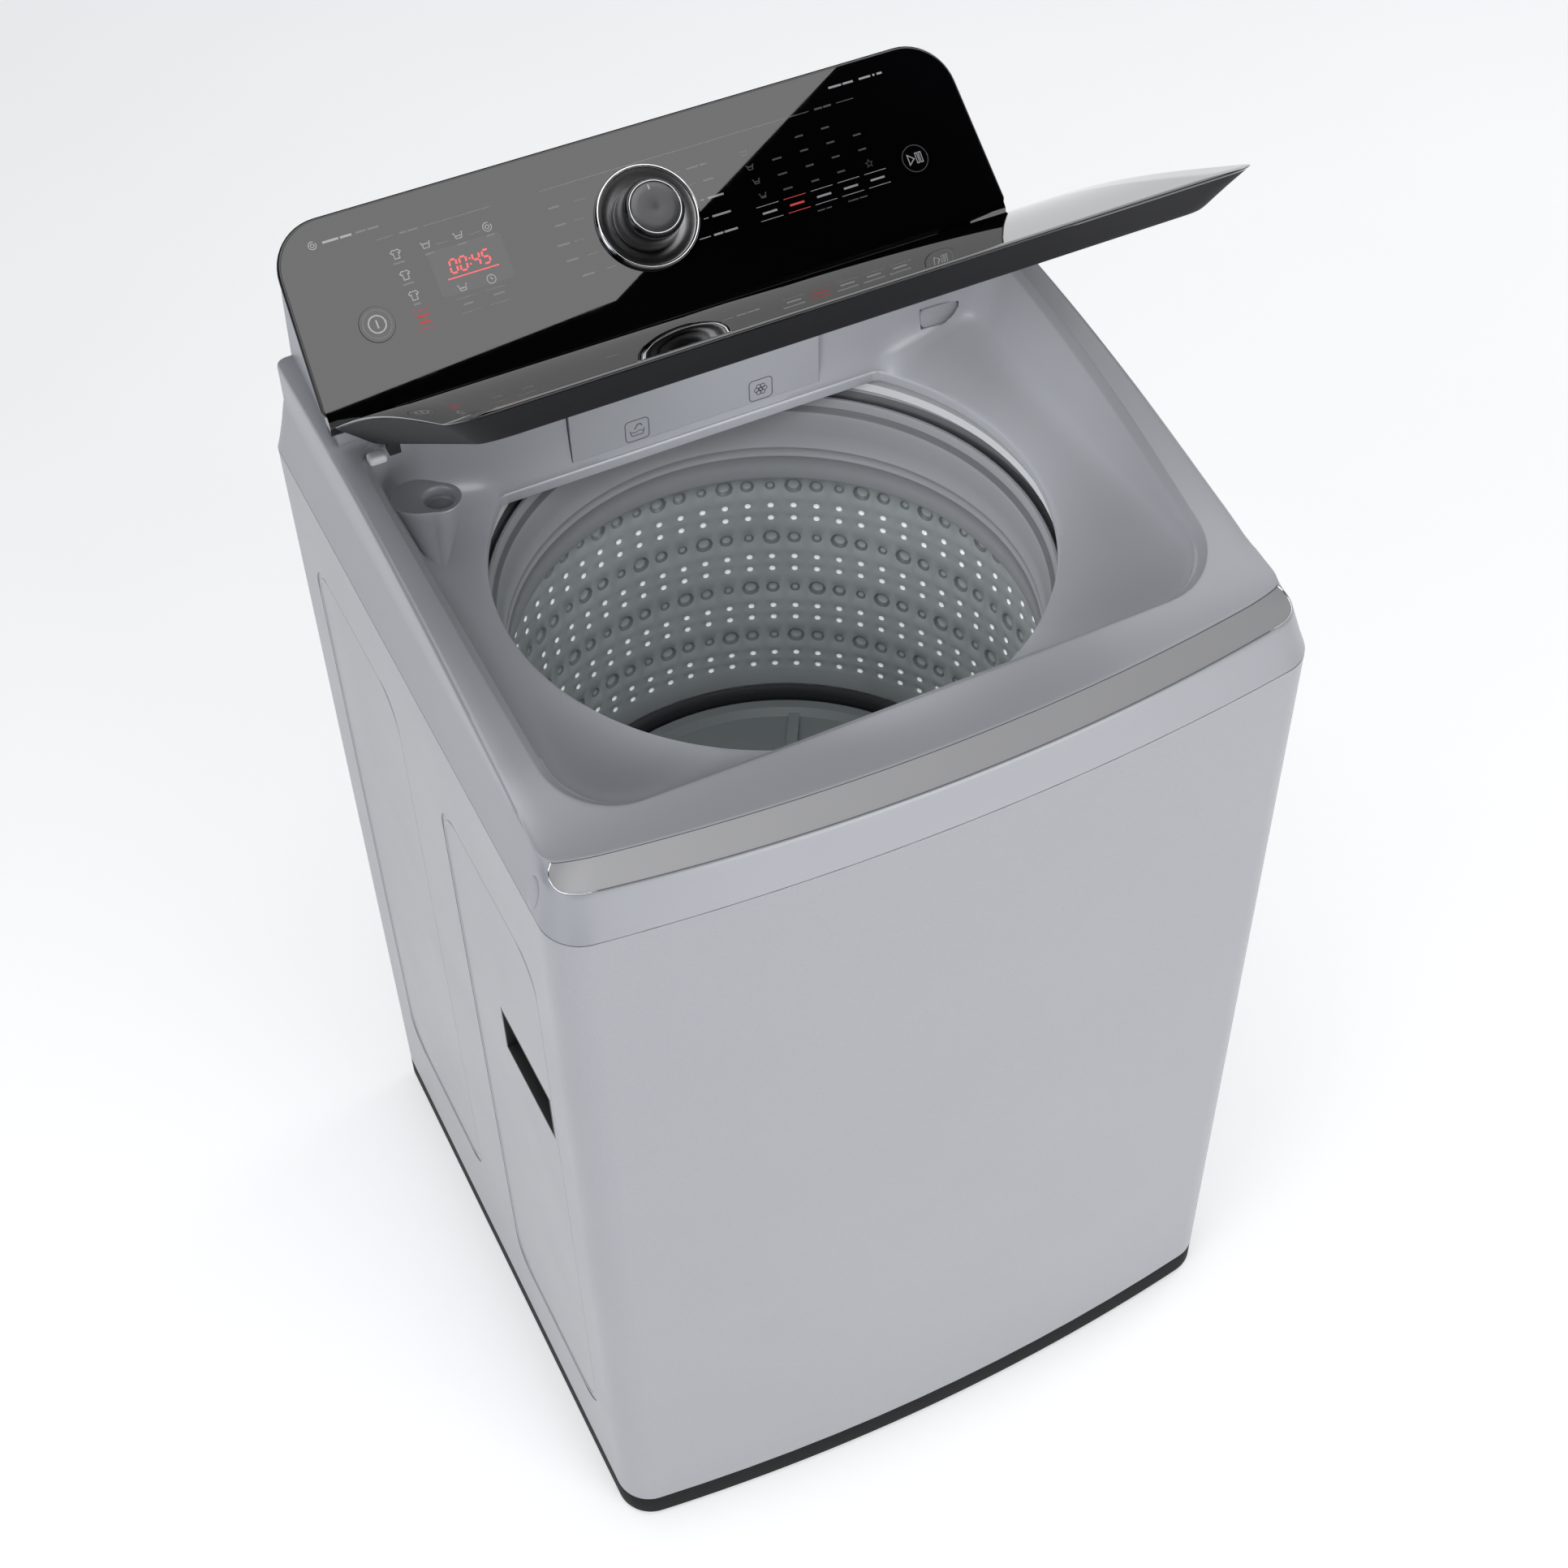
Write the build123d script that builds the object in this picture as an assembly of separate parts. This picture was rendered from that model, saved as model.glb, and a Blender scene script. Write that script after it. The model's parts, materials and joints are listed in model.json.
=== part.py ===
from build123d import *
import math
import os

os.makedirs("parts", exist_ok=True)

# A top load washing machine, in millimetres: +X is the machine's left-to-right, +Y its back,
# +Z up.  The origin is on the floor, at the middle of the machine's footprint.

# ---- cabinet ----
WIDTH = 540.0
SIDE_BACK = 250.7
SIDE_FRONT = -250.7
FRONT_BOW = 20.7
BACK_REACH = 271.4
SHEET = 1.5
FLOOR_GAP = 28.0
FRONT_CORNER_R = 28.0
BACK_CORNER_R = 8.0
SEAM_FRONT_Z = 747.3
SEAM_BACK_Z = 761.2
BACK_FLANGE_X = 235.0
PANEL_PRESS = 0.8

# ---- top cover ----
COVER_WALL = 3.0
SHOULDER_RISE = 31.0
SHOULDER_X = 262.0
SHOULDER_FRONT = -238.5
SHOULDER_BOW = 24.7
SHOULDER_R = 24.0
DECK_RISE = 43.0
DECK_X = 259.0
DECK_FRONT = -214.4
DECK_BACK = 248.5
DECK_R = 14.0
DECK_FRONT_Z = 788.4
LEDGE_Z = 834.0
LEDGE_Y = 122.0

# ---- recess and opening ----
TUB_Y = 5.0
LIP_X = 235.0
LIP_FRONT = -200.0
LIP_BACK = 138.0
LIP_R = 45.0
RECESS_BACK_R = 30.0
WAIST_Z = 776.0
WAIST_X = 224.0
WAIST_FRONT = -192.0
WAIST_R = 46.0
RIM_Z = 755.0
RIM_R = 193.5
RIM_BACK = 131.0
NECK_Z = 747.0
SKIN = 2.5

# ---- console ----
FACIA_Y = 144.0
FACIA_Z = 860.0
FACIA_RUN = 94.0
FACIA_RISE = 80.0
FACIA_LOW_X = 254.0
FACIA_TOP_X = 247.5
FACIA_CORNER_R = 34.0
FACIA_T = 8.0
HOUSING_X = 250.0
DIAL_S = 61.7
BUTTON_S = 46.4
BUTTON_X = 201.0
BUTTON_R = 12.0
DISPLAY_X = -127.0
DISPLAY_S = 66.0
DISPLAY_W = 52.0
DISPLAY_H = 32.0

# ---- lid ----
LID_TOP_X = 254.0
LID_FRONT = -216.0
LID_FRONT_Z = 812.0
LID_LENGTH = 349.0
LID_SLOPE = 7.9
LID_DEPTH = 17.5
LID_LOW_X = 232.0
LID_GLASS_T = 4.0
LID_OPEN = 45.0
PIVOT_Y = 126.0
PIVOT_Z = 850.0
PIN_R = 2.5
HINGE_X = 218.0
HINGE_W = 8.0

# ---- drum, tub and drive ----
DRUM_R = 205.0
DRUM_T = 1.2
DRUM_LOW = 385.0
RING_LOW = 645.0
RING_TOP = 722.0
RING_R_LOW = 187.0
RING_R_TOP = 193.0
RING_R_OUT = 221.0
WALL_LAP = 24.0
PULSATOR_R = 191.0
PULSATOR_Z = 394.0
TUB_R = 230.0
TUB_WALL = 2.5
TUB_LOW = 352.0
TUB_TOP = 728.0
SHAFT_R = 10.0
TUBE_R = 20.0
RUN_FIT = 0.05
PULLEY_LOW = 254.0
PULLEY_T = 16.0
BIG_PULLEY_R = 88.0
MOTOR_PULLEY_R = 22.0
MOTOR_X = 150.0
BELT_GAP = 0.3
BELT_T = 5.0

# ---- suspension and feet ----
ROD_X = 218.0
ROD_DY = 202.0
ROD_R = 4.5
ROD_TOP = 742.0
CUP_Z = 332.0
LUG_Z = 430.0
FOOT_X = 222.0
FOOT_FRONT_Y = -205.0
FOOT_BACK_Y = 205.0
STUD_R = 5.0

# ---- cabinet fittings ----
GRIP_Y0 = -192.0
GRIP_Y1 = -104.0
GRIP_Z0 = 475.0
GRIP_Z1 = 522.0
GRIP_DEPTH = 28.0
FRONT_FIELD = (-200, -36, 100, 672)
BACK_FIELD = (38, 204, 118, 690)
FIELD_R = 26.0
REAR_HALF_X = 246.0
REAR_LOW = 48.0
REAR_TOP = 760.8
SCREW_X = 240.0
SCREW_ROWS = (60.0, 280.0, 500.0, 720.0)
SCREW_R = 2.0
GLAND_X = -190.0
GLAND_Z = 650.0
GLAND_R = 9.0
CORD_R = 4.5
DRAIN_X = 180.0
DRAIN_Z = 120.0
DRAIN_R = 14.0
INLET_X = 165.0
INLET_Z = 800.0
INLET_R = 13.2

# ---- base ----
BASE_LOW = 3.0
BASE_TOP = 46.0
BASE_WALL = 3.0
PUMP_X = 150.0
PUMP_Y = 150.0

# ---- corner boss, side caps and lid lock ----
BOSS_X = -205.0
BOSS_Y = 80.0
BOSS_Z = 812.0
BOSS_R = 20.0
POCKET_R = 12.5
POCKET_DEPTH = 14.0
CAP_X = 265.2
CAP_Y = -213.0
CAP_Z = 763.0
CAP_T = 2.4
LOCK_X = 199.0
LOCK_Z = 786.0
LOCK_W = 30.0
LOCK_H = 16.0

# ---- dial ----
DISH_R = 37.0
DISH_RISE = 5.0
KNOB_R = 22.0
KNOB_TOP = 26.0
DIAL_SHAFT_R = 4.0

# ---- dispenser drawer ----
DRAWER_X0 = -92.0
DRAWER_X1 = 100.0
DRAWER_Z0 = 763.0
DRAWER_Z1 = 808.0
DRAWER_DEPTH = 88.0
DRAWER_GAP = 0.5

# ---- tub lugs, cups and springs ----
HUB_R = 32.0
LUG_HOLE_R = 7.0
LUG_T = 12.0
CUP_R = 16.0
SPRING_R = 12.0
SPRING_WIRE = 3.0

SEAM_TILT = math.degrees(math.atan2(SEAM_BACK_Z - SEAM_FRONT_Z, SIDE_BACK - SIDE_FRONT))
FACIA_TILT = math.degrees(math.atan2(FACIA_RISE, FACIA_RUN))
FACIA_LENGTH = math.hypot(FACIA_RUN, FACIA_RISE)


def save(shape, node):
    """Write one sub-part under its own name."""
    shape.label = node
    export_step(shape, os.path.join("parts", node + ".step"))


def block(x0, x1, y0, y1, z0, z1):
    """An axis-aligned box from its limits."""
    centre = ((x0 + x1) / 2, (y0 + y1) / 2, (z0 + z1) / 2)
    return Pos(*centre) * Box(abs(x1 - x0), abs(y1 - y0), abs(z1 - z0))


def rod(x, y, z0, z1, radius):
    """An upright cylinder between two heights."""
    return Pos(x, y, (z0 + z1) / 2) * Cylinder(radius, z1 - z0)


def tube(x, y, z0, z1, outer, inner):
    """An upright tube between two heights."""
    return rod(x, y, z0, z1, outer) - rod(x, y, z0 - 1, z1 + 1, inner)


def turned(points, x=0.0, y=TUB_Y):
    """A solid of revolution about an upright axis, from (radius, z) points."""
    profile = make_face(Polyline([(r, 0, z) for r, z in points], close=True))
    return Pos(x, y, 0) * revolve(profile, Axis.Z, 360)


def bowed_plan(half_x, front, bow, back, front_r, back_r):
    """The machine's outline seen from above: a rectangle whose front edge is an arc."""
    edges = [
        ThreePointArc((-half_x, front), (0, front - bow), (half_x, front)),
        Line((half_x, front), (half_x, back)),
        Line((half_x, back), (-half_x, back)),
        Line((-half_x, back), (-half_x, front)),
    ]
    face = make_face(edges)
    corners = face.vertices().sort_by(Axis.Y)
    face = fillet(corners[:2], front_r)
    corners = face.vertices().sort_by(Axis.Y)
    return fillet(corners[-2:], back_r)


def tray_plan(half_x, front, back, front_r, back_r):
    """A rectangle with one radius at its front corners and another at its back ones."""
    face = Pos(0, (front + back) / 2) * Rectangle(2 * half_x, back - front)
    face = fillet(face.vertices().sort_by(Axis.Y)[:2], front_r)
    return fillet(face.vertices().sort_by(Axis.Y)[-2:], back_r)


def side_profile(points, half_x):
    """A closed outline in Y and Z, drawn out along X to both sides."""
    face = make_face(Polyline([(0, y, z) for y, z in points], close=True))
    return extrude(face, half_x, dir=(1, 0, 0), both=True)


# ------------------------------------------------------------------ planes
def seam_plane(rise):
    """The tilted plane of the seam between cabinet and top cover, raised by a distance."""
    middle = (SEAM_FRONT_Z + SEAM_BACK_Z) / 2
    return Plane(origin=(0, 0, middle), x_dir=(1, 0, 0)).rotated((SEAM_TILT, 0, 0)).offset(rise)


def facia_plane(height=0.0):
    """The console's sloped face: local x to the right, local y up the slope."""
    tilt = math.radians(FACIA_TILT)
    normal = (0, -math.sin(tilt), math.cos(tilt))
    return Plane(origin=(0, FACIA_Y, FACIA_Z), x_dir=(1, 0, 0), z_dir=normal).offset(height)


def lid_plane():
    """The lid's top face when closed: local y runs from the front edge to the hinge."""
    tilt = math.radians(LID_SLOPE)
    normal = (0, -math.sin(tilt), math.cos(tilt))
    return Plane(origin=(0, LID_FRONT, LID_FRONT_Z), x_dir=(1, 0, 0), z_dir=normal)


def lid_pivot_local():
    """The hinge axis in the closed lid's own y and z."""
    tilt = math.radians(LID_SLOPE)
    dy = PIVOT_Y - LID_FRONT
    dz = PIVOT_Z - LID_FRONT_Z
    return (dy * math.cos(tilt) + dz * math.sin(tilt), dz * math.cos(tilt) - dy * math.sin(tilt))


def opened(shape):
    """Turn a closed lid piece about the hinge to the stored, open position."""
    return Pos(0, PIVOT_Y, PIVOT_Z) * Rot(-LID_OPEN, 0, 0) * Pos(0, -PIVOT_Y, -PIVOT_Z) * shape


# ------------------------------------------------------------------ cabinet


def below_seam(z_low):
    """Everything under the seam, down to a height."""
    return side_profile(
        [(-300, z_low), (300, z_low), (300, seam_z(300)), (-300, seam_z(-300))], 300
    )


def seam_z(y):
    """Height of the seam at a depth."""
    slope = (SEAM_BACK_Z - SEAM_FRONT_Z) / (SIDE_BACK - SIDE_FRONT)
    return SEAM_FRONT_Z + slope * (y - SIDE_FRONT)


def pressed_field(side, y0, y1, z0, z1):
    """A shallow pressed field in a side panel."""
    frame = Plane(origin=(side * WIDTH / 2, (y0 + y1) / 2, (z0 + z1) / 2), x_dir=(0, 1, 0),
                  z_dir=(side, 0, 0))
    return extrude(frame * RectangleRounded(y1 - y0, z1 - z0, FIELD_R), PANEL_PRESS, both=True)


def cabinet_wrap():
    half = WIDTH / 2
    outer = bowed_plan(half, SIDE_FRONT, FRONT_BOW, SIDE_BACK, FRONT_CORNER_R, BACK_CORNER_R)
    inner = bowed_plan(half - SHEET, SIDE_FRONT + SHEET, FRONT_BOW, SIDE_BACK - SHEET,
                       FRONT_CORNER_R - SHEET, BACK_CORNER_R - SHEET)
    wrap = Pos(0, 0, FLOOR_GAP) * extrude(outer - inner, 800)
    wrap = wrap & below_seam(FLOOR_GAP)
    wrap -= block(-BACK_FLANGE_X, BACK_FLANGE_X, SIDE_BACK - 10, SIDE_BACK + 10, 0, 900)
    for side in (-1, 1):
        wrap -= block(side * (half - 10), side * (half + 10), GRIP_Y0, GRIP_Y1, GRIP_Z0, GRIP_Z1)
        wrap -= pressed_field(side, *FRONT_FIELD)
        wrap -= pressed_field(side, *BACK_FIELD)
    for x, z in screw_places():
        wrap -= Pos(x, SIDE_BACK, z) * Rot(90, 0, 0) * Cylinder(SCREW_R, 12)
    return wrap


def grip(side):
    """A black cup behind the hand slot in a side panel."""
    face = side * (WIDTH / 2 - PANEL_PRESS)
    inner = side * (WIDTH / 2 - SHEET - GRIP_DEPTH)
    body = block(inner, face, GRIP_Y0, GRIP_Y1, GRIP_Z0, GRIP_Z1)
    body -= block(inner + side * SKIN, face + side, GRIP_Y0 + SKIN, GRIP_Y1 - SKIN,
                  GRIP_Z0 + SKIN, GRIP_Z1 - SKIN)
    return body


def screw_places():
    """Screws along both back flanges."""
    return [(side * SCREW_X, z) for side in (-1, 1) for z in SCREW_ROWS]


def rear_panel():
    """The flat sheet that closes the back, with pressed ribs, vents and a cable hole."""
    y1 = SIDE_BACK - SHEET
    panel = block(-REAR_HALF_X, REAR_HALF_X, y1 - SHEET, y1, REAR_LOW, REAR_TOP)
    for z in (330, 430, 530):
        panel -= block(-170, 170, y1 - 0.6, y1 + 1, z, z + 50)
    for i in range(8):
        x = -70 + 20 * i
        panel -= block(x, x + 6, y1 - 10, y1 + 10, 620, 690)
    for x, z in screw_places():
        panel -= Pos(x, y1, z) * Rot(90, 0, 0) * Cylinder(SCREW_R, 12)
    panel -= Pos(GLAND_X, y1, GLAND_Z) * Rot(90, 0, 0) * Cylinder(GLAND_R, 12)
    panel -= Pos(DRAIN_X, y1, DRAIN_Z) * Rot(90, 0, 0) * Cylinder(DRAIN_R + 4, 12)
    return panel


def rear_screws():
    """The screws that hold the back sheet."""
    screws = []
    for x, z in screw_places():
        head = Pos(x, SIDE_BACK + 1.1, z) * Rot(90, 0, 0) * Cylinder(4.2, 2.2)
        shank = Pos(x, SIDE_BACK - 2.5, z) * Rot(90, 0, 0) * Cylinder(SCREW_R, 5)
        screws.append(head + shank)
    return Compound(children=screws)


def cord_gland():
    """The bushing that the mains lead passes through."""
    y1 = SIDE_BACK - SHEET
    stem = Pos(GLAND_X, y1, GLAND_Z) * Rot(90, 0, 0) * Cylinder(GLAND_R, 18)
    flange = Pos(GLAND_X, y1 + 2, GLAND_Z) * Rot(90, 0, 0) * Cylinder(GLAND_R + 4, 4)
    inside = Pos(GLAND_X, y1 - SHEET - 2, GLAND_Z) * Rot(90, 0, 0) * Cylinder(GLAND_R + 2, 4)
    bore = Pos(GLAND_X, y1, GLAND_Z) * Rot(90, 0, 0) * Cylinder(CORD_R, 60)
    return stem + flange + inside - bore


def drain_elbow():
    """The ribbed spigot that a drain hose pushes over."""
    y1 = SIDE_BACK - SHEET
    flange = Pos(DRAIN_X, y1 + 1.5, DRAIN_Z) * Rot(90, 0, 0) * Cylinder(DRAIN_R + 9, 3)
    collar = Pos(DRAIN_X, y1 - 8, DRAIN_Z) * Rot(90, 0, 0) * Cylinder(DRAIN_R + 4, 16)
    length = BACK_REACH - y1
    spigot = Pos(DRAIN_X, y1 + length / 2, DRAIN_Z) * Rot(90, 0, 0) * Cylinder(DRAIN_R, length)
    bore = Pos(DRAIN_X, y1, DRAIN_Z) * Rot(90, 0, 0) * Cylinder(DRAIN_R - 3, 80)
    return flange + collar + spigot - bore


def inlet_valve():
    """The water valve: a body behind the top cover's back wall and a threaded inlet."""
    inner_y = cover_back_y() - COVER_WALL
    body = block(INLET_X - 20, INLET_X + 20, inner_y - 34, inner_y, INLET_Z - 18, INLET_Z + 18)
    collar = Pos(INLET_X, inner_y + 3, INLET_Z) * Rot(90, 0, 0) * Cylinder(INLET_R + 3, 6)
    length = BACK_REACH - inner_y
    neck = Pos(INLET_X, inner_y + length / 2, INLET_Z) * Rot(90, 0, 0) * Cylinder(INLET_R, length)
    bore = Pos(INLET_X, BACK_REACH - 9, INLET_Z) * Rot(90, 0, 0) * Cylinder(9.5, 18.001)
    return body + collar + neck - bore


# ------------------------------------------------------------------ base
def base_plan(inset, front_r):
    """The cabinet's outline, drawn in by a distance."""
    half = WIDTH / 2 - inset
    return bowed_plan(half, SIDE_FRONT + inset, FRONT_BOW, SIDE_BACK - inset, front_r, 6)


def foot_places():
    return [(sx * FOOT_X, y) for y in (FOOT_FRONT_Y, FOOT_BACK_Y) for sx in (-1, 1)]


def base_frame():
    """The black plinth: a low wall under the cabinet, a tongue inside it and four foot bosses."""
    wall = base_plan(3, 25) - base_plan(3 + BASE_WALL + 2, 20)
    frame = Pos(0, 0, BASE_LOW) * extrude(wall, FLOOR_GAP - BASE_LOW)
    tongue = base_plan(SHEET + 2, 23) - base_plan(SHEET + 2 + BASE_WALL, 20)
    frame += Pos(0, 0, FLOOR_GAP) * extrude(tongue, BASE_TOP - FLOOR_GAP)
    for x, y in foot_places():
        frame += rod(x, y, 14, BASE_TOP, 15)
        side = math.copysign(1, x)
        end = math.copysign(1, y)
        frame += block(x, side * 264, y - 5, y + 5, 14, BASE_TOP)
        frame += block(x - 5, x + 5, y, end * 245, 14, BASE_TOP)
    for x, y in foot_places():
        frame -= rod(x, y, 0, 60, STUD_R + RUN_FIT)
    return frame


def base_cover():
    """The thin sheet that closes the underside."""
    sheet = Pos(0, 0, BASE_TOP) * extrude(base_plan(SHEET + 2, 23), SHEET)
    for x, y in foot_places():
        sheet -= rod(x, y, 0, 60, 12)
    return sheet


def foot(x, y):
    """One levelling foot: a broad pad and its screw."""
    pad = turned([(0, 0), (17, 0), (18, 1.5), (18, 5), (12, 9), (0, 9)], x, y)
    return pad + rod(x, y, 5, 56, STUD_R)


def drain_pump():
    """The pump that stands on the base sheet behind the drain spigot."""
    z0 = BASE_TOP + SHEET
    body = rod(PUMP_X, PUMP_Y, z0, z0 + 12, 40) + rod(PUMP_X, PUMP_Y, z0 + 12, z0 + 58, 30)
    return body + block(PUMP_X - 28, PUMP_X + 28, PUMP_Y + 26, PUMP_Y + 50, z0, z0 + 40)


# ------------------------------------------------------------------ top cover
def cover_back_y():
    """Depth of the top cover's back wall at the inlet's height."""
    return DECK_BACK - 1.9


def cover_section(rise, half_x, front, bow, back, front_r, inset):
    """One outline of the top cover on a plane parallel to the seam."""
    face = bowed_plan(half_x - inset, front + inset, bow, back - inset, front_r, 7)
    return seam_plane(rise) * face


def cover_volume(inset):
    """The top cover's outer shape, or its inside when drawn in, before the deck is cut."""
    low = cover_section(0, WIDTH / 2, SIDE_FRONT, FRONT_BOW, SIDE_BACK, FRONT_CORNER_R, inset)
    mid = cover_section(SHOULDER_RISE, SHOULDER_X, SHOULDER_FRONT, SHOULDER_BOW, DECK_BACK, SHOULDER_R,
                        inset)
    top = cover_section(DECK_RISE, DECK_X, DECK_FRONT, SHOULDER_BOW, DECK_BACK, DECK_R, inset)
    body = loft([low, mid]) + loft([mid, top])
    return body + extrude(top, 60)


def deck_line(drop):
    """The deck's side profile as a wire, lowered by a distance."""
    rise = Spline(
        [(0, DECK_FRONT - 2, DECK_FRONT_Z - drop), (0, -145, 800.8 - drop), (0, -27, 821 - drop),
         (0, 60, 830.8 - drop), (0, LEDGE_Y, LEDGE_Z - drop)],
        tangents=[(0, 1, 0), (0, 1, 0)],
    )
    flat = Line((0, -320, DECK_FRONT_Z - drop), (0, DECK_FRONT - 2, DECK_FRONT_Z - drop))
    ledge = Line((0, LEDGE_Y, LEDGE_Z - drop), (0, 320, LEDGE_Z - drop))
    return flat, rise, ledge


def above_deck(drop):
    """Everything above the deck surface."""
    flat, rise, ledge = deck_line(drop)
    edges = [
        flat, rise, ledge,
        Line((0, 320, LEDGE_Z - drop), (0, 320, 1000)),
        Line((0, 320, 1000), (0, -320, 1000)),
        Line((0, -320, 1000), (0, -320, DECK_FRONT_Z - drop)),
    ]
    return extrude(make_face(edges), 320, dir=(1, 0, 0), both=True)


def recess_volume(grow, drop):
    """The wash recess: straight walls, a waist, and a funnel down to the round opening."""
    lip = Pos(0, 0, 850) * tray_plan(LIP_X + 7 + grow, LIP_FRONT - 4 - grow, LIP_BACK + grow,
                                     LIP_R + grow, RECESS_BACK_R + grow)
    waist = tray_plan(WAIST_X + grow, WAIST_FRONT - grow, LIP_BACK - 3 + grow,
                      WAIST_R + grow, RECESS_BACK_R + grow)
    rim = tray_plan(RIM_R + grow, TUB_Y - RIM_R - grow, RIM_BACK + grow, RIM_R - 8 + grow,
                    RECESS_BACK_R + grow)
    walls = loft([Pos(0, 0, WAIST_Z - drop) * waist, lip])
    funnel = loft([Pos(0, 0, RIM_Z - drop) * rim, Pos(0, 0, WAIST_Z - drop) * waist])
    return walls + funnel


def neck_plan(grow):
    """The round opening, cut off by the recess's back wall."""
    circle = Pos(0, TUB_Y) * Circle(RIM_R + grow)
    return circle & (Pos(0, RIM_BACK + grow - 250) * Rectangle(500, 500))


def corner_boss():
    """A pointed bracket in the recess's back left corner, with a round blind pocket."""
    top = Pos(BOSS_X, BOSS_Y, BOSS_Z) * Circle(BOSS_R)
    tip = Pos(BOSS_X - 6, BOSS_Y - 6, 768) * Circle(5)
    back = block(-LIP_X, BOSS_X, BOSS_Y - 12, BOSS_Y + 12, 786, BOSS_Z)
    return loft([tip, top]) + back


def top_cover():
    body = cover_volume(0) - above_deck(0)
    hollow = cover_volume(COVER_WALL) - above_deck(COVER_WALL)
    hollow += extrude(seam_plane(0) * bowed_plan(267, -247.7, FRONT_BOW, 247.7, 25, 6), -20)
    body -= hollow
    skin = recess_volume(SKIN, SKIN) - above_deck(1)
    skin += Pos(0, 0, NECK_Z) * extrude(neck_plan(SKIN), RIM_Z - NECK_Z)
    body += skin
    body += corner_boss() & recess_volume(1, 0)
    cut = recess_volume(0, 0) + Pos(0, 0, NECK_Z - 5) * extrude(neck_plan(0), RIM_Z - NECK_Z + 5.5)
    cut -= corner_boss()
    body -= cut
    body -= rod(BOSS_X, BOSS_Y, BOSS_Z - POCKET_DEPTH, BOSS_Z + 20, POCKET_R)
    body -= drawer_mouth()
    body -= lid_lock()
    body -= trim_band()
    for side in (-1, 1):
        body -= side_cap(side)
    inlet = Pos(INLET_X, DECK_BACK, INLET_Z) * Rot(90, 0, 0) * Cylinder(INLET_R + 3, 20)
    return body - inlet


def trim_band():
    """The satin strip along the front edge of the deck."""
    mid = cover_section(SHOULDER_RISE, SHOULDER_X, SHOULDER_FRONT, SHOULDER_BOW, DECK_BACK, SHOULDER_R, 0)
    top = cover_section(DECK_RISE, DECK_X, DECK_FRONT, SHOULDER_BOW, DECK_BACK, DECK_R, 0)
    band = loft([mid, top]) - above_deck(0)
    under = Pos(0, 1.2, -2.2) * loft([mid, top])
    band -= under
    band -= block(-300, 300, SHOULDER_FRONT + 26, 300, 700, 900)
    band -= block(-300, 300, -300, 300, 700, seam_z(SIDE_FRONT) + SHOULDER_RISE + 0.2)
    return band & block(-258, 258, -300, 0, 700, 900)


def side_cap(side):
    """A stadium-shaped plug over the cover's side screw."""
    lean = math.degrees(math.atan2(WIDTH / 2 - SHOULDER_X, SHOULDER_RISE))
    place = Pos(side * CAP_X, CAP_Y, CAP_Z) * Rot(0, -side * lean, 0)
    frame = Plane(origin=(0, 0, 0), x_dir=(0, 1, 0), z_dir=(side, 0, 0))
    return place * extrude(frame * RectangleRounded(15, 27, 7.2), CAP_T / 2, both=True)


def lid_lock():
    """The small window of the lid's lock in the recess's back wall."""
    frame = Plane(origin=(LOCK_X, LIP_BACK - 1, LOCK_Z), x_dir=(1, 0, 0), z_dir=(0, -1, 0))
    return extrude(frame * RectangleRounded(LOCK_W, LOCK_H, 5), 3, both=True)


# ------------------------------------------------------------------ console
def facia_outline(inset, foot_s=0.0):
    """The facia's outline on its own plane, wider at the foot than at the top."""
    low = FACIA_LOW_X - inset
    top = FACIA_TOP_X - inset
    end = FACIA_LENGTH - inset * 0.5
    low += (top - low) * foot_s / FACIA_LENGTH
    face = make_face(Polyline((-low, foot_s), (low, foot_s), (top, end), (-top, end), close=True))
    return fillet(face.vertices().sort_by(Axis.Y)[-2:], FACIA_CORNER_R - inset)


def facia_under():
    """Depth and height of the facia's underside at its foot."""
    tilt = math.radians(FACIA_TILT)
    return (FACIA_Y + FACIA_T * math.sin(tilt), FACIA_Z - FACIA_T * math.cos(tilt))


def console_facia():
    """The glossy black front of the console, rolled over at its foot."""
    body = facia_plane(-FACIA_T) * extrude(facia_outline(0), FACIA_T)
    roll = side_profile([facia_under(), (148, 863.4), (FACIA_Y, FACIA_Z), (140.2, 856),
                         (139.2, 851), (139.4, 845.5), (141.5, 843), (147, 843)], FACIA_LOW_X)
    body += roll
    body -= facia_plane() * Pos(0, DIAL_S) * Cylinder(DISH_R + 0.01, 40)
    for side in (-1, 1):
        body -= facia_plane() * Pos(side * BUTTON_X, BUTTON_S) * Cylinder(BUTTON_R + 0.3, 40)
    body -= display_window()
    return body


def display_window():
    """The smoked window over the time display."""
    window = RectangleRounded(DISPLAY_W, DISPLAY_H, 3)
    return facia_plane(-FACIA_T) * Pos(DISPLAY_X, DISPLAY_S) * extrude(window, FACIA_T)


def dial_bezel():
    """The bright dish around the dial, with the bush that carries the dial's shaft."""
    profile = [(DIAL_SHAFT_R + RUN_FIT, -18), (9, -18), (9, -10), (DISH_R - 3, -FACIA_T - 0.5),
               (DISH_R, -FACIA_T), (DISH_R, 3), (DISH_R - 2, DISH_RISE), (DISH_R - 5, DISH_RISE - 1),
               (26, -3), (DIAL_SHAFT_R + RUN_FIT, -3)]
    dish = revolve(make_face(Polyline([(r, 0, z) for r, z in profile], close=True)), Axis.Z, 360)
    return facia_plane() * Pos(0, DIAL_S) * dish


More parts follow.
